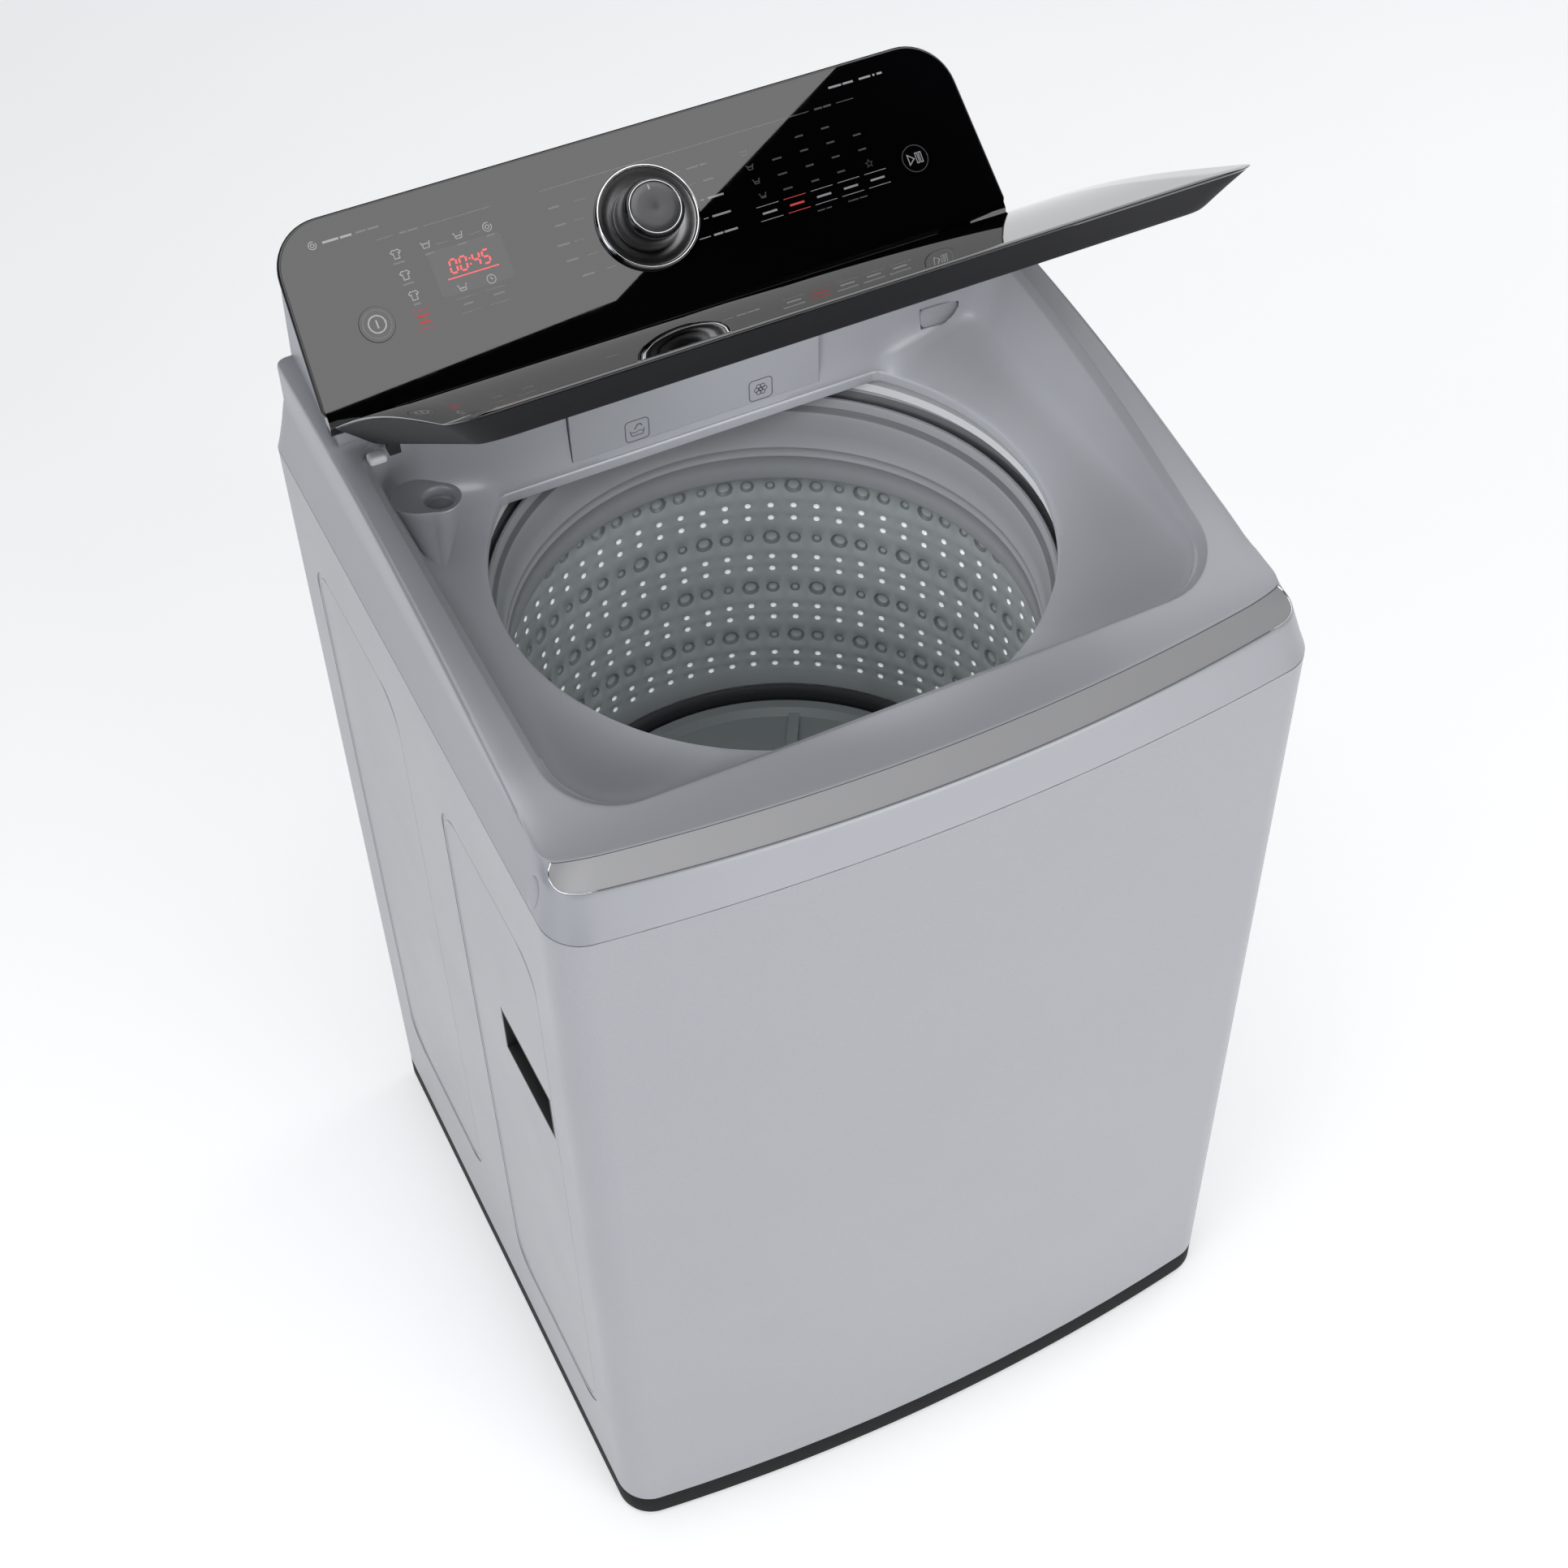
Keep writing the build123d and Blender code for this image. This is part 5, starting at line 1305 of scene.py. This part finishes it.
def drum_wall():
    """The perforated steel wall: paired rows of holes between rows of pressed dimples."""
    low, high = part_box("drum_wall")
    radius = (high.x - low.x) / 2 / MM - 1.2
    centre = (low + high) / 2
    base = low.z / MM
    step = 2 * math.pi / COLUMNS
    half = radius * step / 2
    points = []
    faces = []
    finishes = []

    def add(column, u, z, outward=0.0):
        """A point at u mm along the wall from the middle of a column."""
        angle = column * step + u / radius
        r = (radius + outward) * MM
        points.append((centre.x + r * math.cos(angle), centre.y + r * math.sin(angle), z * MM))
        return len(points) - 1

    def fill(outer, inner, finish):
        """Faces between two loops, or between a loop and a point repeated."""
        for i in range(len(outer)):
            j = (i + 1) % len(outer)
            face = (outer[i], outer[j], inner[j], inner[i])
            faces.append(face if inner[i] != inner[j] else face[:3])
            finishes.append(finish)

    def cell(column, z0, z1, mid, rings, tip):
        """A patch of the wall with rings of (radius, depth, finish) down to a tip."""
        corners = [(half, z0), (half, z1), (-half, z1), (-half, z0)]
        edge = []
        for (u0, v0), (u1, v1) in zip(corners, corners[1:] + corners[:1]):
            edge += [(u0 + (u1 - u0) * t, v0 + (v1 - v0) * t)
                     for t in (j / CELL_SPLITS for j in range(CELL_SPLITS))]
        previous = [add(column, u, v) for u, v in edge]
        turn = [math.atan2(v - mid, u) for u, v in edge]
        for r, depth, finish in rings:
            ring = [add(column, r * math.cos(a), mid + r * math.sin(a), depth) for a in turn]
            fill(previous, ring, finish)
            previous = ring
        depth, finish = tip
        fill(previous, [add(column, 0, mid, depth)] * len(previous), finish)

    def hole(column, z0, z1):
        """A hole closed behind, its rim and plug a pale glowing finish: painted light in place of
        the brightness seen through it.
        """
        rings = ((HOLE_R + 0.8, 0.0, PLAIN), (HOLE_R + 0.4, 0.25, HOLE_GLOW), (HOLE_R, 0.7, HOLE_GLOW),
                 (HOLE_R - 0.4, 1.0, HOLE_GLOW))
        cell(column, z0, z1, (z0 + z1) / 2, rings, (1.1, HOLE_GLOW))

    def dimple(column, z0, z1, mid, size):
        """A pressed bowl whose slope is painted darker: painted shade."""
        deep = DIMPLE_DEPTH * size
        rings = ((size + 0.8, 0.0, PLAIN), (size, DIMPLE_DEPTH * 1.4, SHADE),
                 (size * 0.7, deep * 0.72, SHADE), (size * 0.35, deep * 0.95, PLAIN))
        cell(column, z0, z1, mid, rings, (deep, PLAIN))

    def plain(column, z0, z1):
        """An unpressed patch of the wall."""
        for j in range(2):
            v0, v1 = (z0 + (z1 - z0) * k / 2 for k in (j, j + 1))
            for i in range(CELL_SPLITS):
                u0 = -half + 2 * half * i / CELL_SPLITS
                u1 = u0 + 2 * half / CELL_SPLITS
                faces.append(tuple(add(column, u, v)
                                   for u, v in ((u0, v0), (u1, v0), (u1, v1), (u0, v1))))
                finishes.append(PLAIN)

    for column in range(COLUMNS):
        plain(column, base, base + FIRST_ROW + CELL_EDGES[0])
        for row in range(ROWS):
            z = base + FIRST_ROW + ROW_PITCH * row
            edges = [z + edge for edge in CELL_EDGES]
            hole(column, edges[0], edges[1])
            hole(column, edges[1], edges[2])
            dimple(column, edges[2], edges[3], z, DIMPLES[(column + row) % len(DIMPLES)])
        plain(column, edges[3], high.z / MM)
    made = piece("drum_wall_perforated", points, faces, "drum", "drum",
                 ("drum_wall",))
    # the holes' painted glow
    made.data.materials.append(MATERIALS["rim"])
    # painted shade on the dimples' slopes
    made.data.materials.append(MATERIALS["drum_shade"])
    made.data.polygons.foreach_set("material_index", finishes)
    weld(made, outwards=False)


# ------------------------------------------------------------------ cabinet, springs and drawer
PRESSINGS = {"front": (-200, -36, 100, 672), "back": (38, 204, 118, 690)}
PRESSING_R = 34.0
CABINET_HALF = 270.0
RIB_R = 1.9
RIB_SUNK = 0.02
RIB_INSET = 2
CAP_PLACE = (266.1, -213.0, 763.0)
CAP_HALF_Y = 6.8
CAP_HALF_Z = 12.8
CAP_LEAN = 8.0  # how far the apron leans inwards over its rise
# share of the full size and height off the apron
CAP_LOOPS = ((1.0, -1.5), (1.0, 0.25), (0.96, 0.6), (0.8, 0.85), (0.45, 1.0))
COIL_TURNS = 8
COIL_STEPS = 24
WIRE_R = 1.5
MARK_Z = 773.5  # the drawer's icons
BASIN_X = -42.4
FLOWER_X = 53.8


def side_ribs():
    """A soft rounded rib along the edge of each pressed field in the side panels."""
    for side, side_name in SIDES:
        x = side * (CABINET_HALF - RIB_SUNK - RIB_R) * MM
        for field, (y0, y1, z0, z1) in PRESSINGS.items():
            outline = rectangle(y0 + RIB_INSET, y1 - RIB_INSET, z0 + RIB_INSET, z1 - RIB_INSET,
                                PRESSING_R)
            path = [Vector((x, y * MM, z * MM)) for y, z in outline]
            bead(path, RIB_R, f"side_rib_{field}_{side_name}", "cabinet", "cabinet",
                 closed=True)


def side_caps():
    """An oval screw cap near the front of the cover's apron on each side."""
    for side, name in SIDES:
        back = Vector((0, 1, 0))
        up = Vector((-side * CAP_LEAN, 0, SHOULDER_RISE)).normalized()
        out = Vector((side * SHOULDER_RISE, 0, CAP_LEAN)).normalized()
        start = Vector((side * CAP_PLACE[0], *CAP_PLACE[1:]))
        loops = []
        for scale, lift in CAP_LOOPS:
            along = back * CAP_HALF_Y * scale
            above = up * CAP_HALF_Z * scale
            loops.append([(start + along * c + above * s + out * lift) * MM
                          for c, s in circle(40)])
        lofted(f"side_cap_cover_{name}", loops, "cover", "cabinet",
               (f"side_cap_{name}",), sharp=50)


def base_skirt():
    """The black plinth, flush with the panels above it."""
    low_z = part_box("base_frame")[0].z / MM
    high_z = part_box("cabinet_wrap")[0].z / MM
    angles = corner_angles(SHELL_MID, SHELL_CORNERS)
    radius = reach(bowed(*CABINET_PLAN), angles)
    section = ((0.1, high_z - 0.3), (0.05, high_z - 6), (0.05, low_z + 3), (0.8, low_z + 1),
               (2.6, low_z + 0.2), (9, low_z + 0.2), (9, high_z - 0.3))
    loops = [(radius - inset, np.full_like(radius, z)) for inset, z in section]
    loop_solid("base_skirt", loops, angles, "plinth", "cabinet", sharp=40)


def springs():
    """A wire coil between each hanger rod's cup and the tub, fixed to the cabinet."""
    for i in range(1, 5):
        node = f"suspension_spring_{i}"
        low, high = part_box(node)
        middle = (low + high) / 2
        radius = (high.x - low.x) / 2 - 1.6 * MM
        length = high.z - low.z - 3.4 * MM
        path = []
        for k in range(COIL_TURNS * COIL_STEPS + 1):
            angle = 2 * math.pi * k / COIL_STEPS
            rise = length * (k / (COIL_TURNS * COIL_STEPS))
            path.append(Vector((middle.x + radius * math.cos(angle),
                                middle.y + radius * math.sin(angle), low.z + 1.7 * MM + rise)))
        made = bead(path, WIRE_R, f"spring_coil_{i}", "steel", "cabinet", replaced=(node,))
        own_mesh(made)


def drawer_prints():
    """Two outlined icons on the drawer's face: a hand in a basin and a flower."""
    face_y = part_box("drawer_front")[0].y
    sheet = Print(lambda x, z, lift: Vector((x * MM, face_y - lift * MM, z * MM)))
    z = MARK_Z
    for x in (BASIN_X, FLOWER_X):
        sheet.stroke(rectangle(x - 9, x + 9, z - 9, z + 9, 3.2), 0.7, closed=True)
    for width, path in (
            (0.7, ((-5.5, 0.5), (-4.2, -4.5), (4.2, -4.5), (5.5, 0.5))),
            (0.6, ((-4.5, -1.2), (-1.5, -2.0), (1.5, -0.8), (4.5, -1.6))),
            (0.9, ((-2.0, 1.0), (0.5, 4.6), (2.6, 5.0), (4.0, 2.8)))):
        sheet.stroke([(BASIN_X + dx, z + dz) for dx, dz in path], width)
    for k in range(6):
        angle = math.radians(60 * k)
        petal = arc(FLOWER_X + 3.3 * math.cos(angle), z + 3.3 * math.sin(angle), 1.7, steps=12)
        sheet.stroke(petal, 0.6, closed=True)
    sheet.stroke(arc(FLOWER_X, z, 1.3, steps=12), 0.7, closed=True)
    sheet.finish("drawer_marks", "icon", "drawer", "drawer_plastic")


# ------------------------------------------------------------------ stage, in metres
CARD_OUTLINE = ((0.87, -0.548), (0.519, -0.781), (0.077, -0.814), (-1.2, -0.83), (-1.2, 1.2),
                (2.2, 1.2), (2.2, 0.33))
CARD_Z = 2.5
CARD_STRENGTH = 1.75
FLOOR_HALF = 40.0
CAMERA_PLACE = (-0.5364, -1.1355, 1.9166)
CAMERA_TURN = (-25.35, 48.22, -1.49)  # azimuth, elevation and roll in degrees
CAMERA_LENS = 57.66  # mm, on a 36 mm sensor


def area_light(name, place, target, size, power, colour=(1, 1, 1), spread_angle=180):
    """A rectangular soft box that faces a point."""
    data = bpy.data.lights.new(name, "AREA")
    data.shape = "RECTANGLE"
    data.size, data.size_y = size
    data.energy = power
    data.color = colour
    data.spread = math.radians(spread_angle)
    lamp = linked(name, data)
    lamp.location = place
    direction = Vector(target) - Vector(place)
    lamp.rotation_euler = direction.to_track_quat("-Z", "Y").to_euler()
    return lamp


def reflection_card():
    """A bright card over the machine that the glossy console mirrors in part."""
    card = mesh_object("reflection_card", [(x, y, CARD_Z) for x, y in CARD_OUTLINE],
                       [tuple(range(len(CARD_OUTLINE)))])
    made = bpy.data.materials.new("card_light")
    made.use_nodes = True
    tree = made.node_tree
    tree.nodes.clear()
    glow = tree.nodes.new("ShaderNodeEmission")
    preset(glow, Strength=CARD_STRENGTH)
    out = tree.nodes.new("ShaderNodeOutputMaterial")
    tree.links.new(glow.outputs["Emission"], out.inputs["Surface"])
    card.data.materials.append(made)
    card.visible_camera = False
    card.visible_diffuse = False
    card.visible_shadow = False


def floor():
    """A plain pale floor."""
    half = FLOOR_HALF
    corners = [(-half, -half, 0), (half, -half, 0), (half, half, 0), (-half, half, 0)]
    ground = mesh_object("floor", corners, [(0, 1, 2, 3)])
    made, tree, shader = new_material("pale_floor")
    mottled(tree, shader, 1.5, (0.9, 0.9, 0.905), (0.93, 0.93, 0.935))
    preset(shader, Roughness=0.7, Emission_Color=(1, 1, 1, 1), Emission_Strength=0.42)
    ground.data.materials.append(made)


def lights():
    """A pale world, soft boxes round the machine, and two small lamps inside it."""
    world = bpy.data.worlds.new("studio")
    bpy.context.scene.world = world
    world.use_nodes = True
    preset(world.node_tree.nodes["Background"], Color=(0.93, 0.96, 1.0, 1), Strength=0.3)
    world.cycles_visibility.glossy = False
    middle = (0, 0, 0.5)
    area_light("key_front", (0.9, -3.1, 1.3), middle, (2.0, 2.0), 42)
    area_light("fill_left", (-2.7, -1.0, 1.75), middle, (2.0, 2.0), 21, (0.92, 0.95, 1.0))
    area_light("top_soft", (-0.4, -0.3, 3.4), (0, 0, 0.6), (1.2, 1.2), 20)
    area_light("rim_right", (2.8, 0.8, 1.8), (0, 0, 0.8), (1.2, 1.6), 11)
    well = area_light("well_fill", (-0.06, -0.1, 0.95), (0.04, 0.12, 0.5), (0.2, 0.2), 0.4,
                      (0.97, 1.0, 1.0), 84)
    side = area_light("recess_fill", (-0.12, -0.03, 0.87), (0.24, 0.0, 0.79), (0.12, 0.06), 0.2,
                      (1.0, 1.0, 1.0), 90)
    for lamp in (well, side):
        lamp.visible_camera = False
        lamp.visible_glossy = False


def camera():
    """The camera at the product view's angle."""
    data = bpy.data.cameras.new("camera")
    data.sensor_width = 36.0
    data.lens = CAMERA_LENS
    made = linked("camera", data)
    made.location = CAMERA_PLACE
    azimuth, elevation, roll = (math.radians(angle) for angle in CAMERA_TURN)
    back = Vector((math.sin(azimuth) * math.cos(elevation),
                   -math.cos(azimuth) * math.cos(elevation), math.sin(elevation)))
    right = Vector((math.cos(azimuth), math.sin(azimuth), 0))
    above = back.cross(right)
    turned_right = right * math.cos(roll) + above * math.sin(roll)
    turned_up = above * math.cos(roll) - right * math.sin(roll)
    made.rotation_euler = Matrix((turned_right, turned_up, back)).transposed().to_euler()
    bpy.context.scene.camera = made


# ------------------------------------------------------------------ build
bpy.context.scene.view_settings.view_transform = "Standard"
finish_nodes()
bevelled(NODES["cabinet_wrap"], width=2.2, angle=8)
top_cover()
corner_boss()
lid()
hinge_stops()
balance_ring()
drum_floor_ring()
drawer_prints()
side_ribs()
side_caps()
facia_edge()
base_skirt()
springs()
facia_prints()
button_prints()
dial()
drum_wall()
floor()
reflection_card()
lights()
camera()
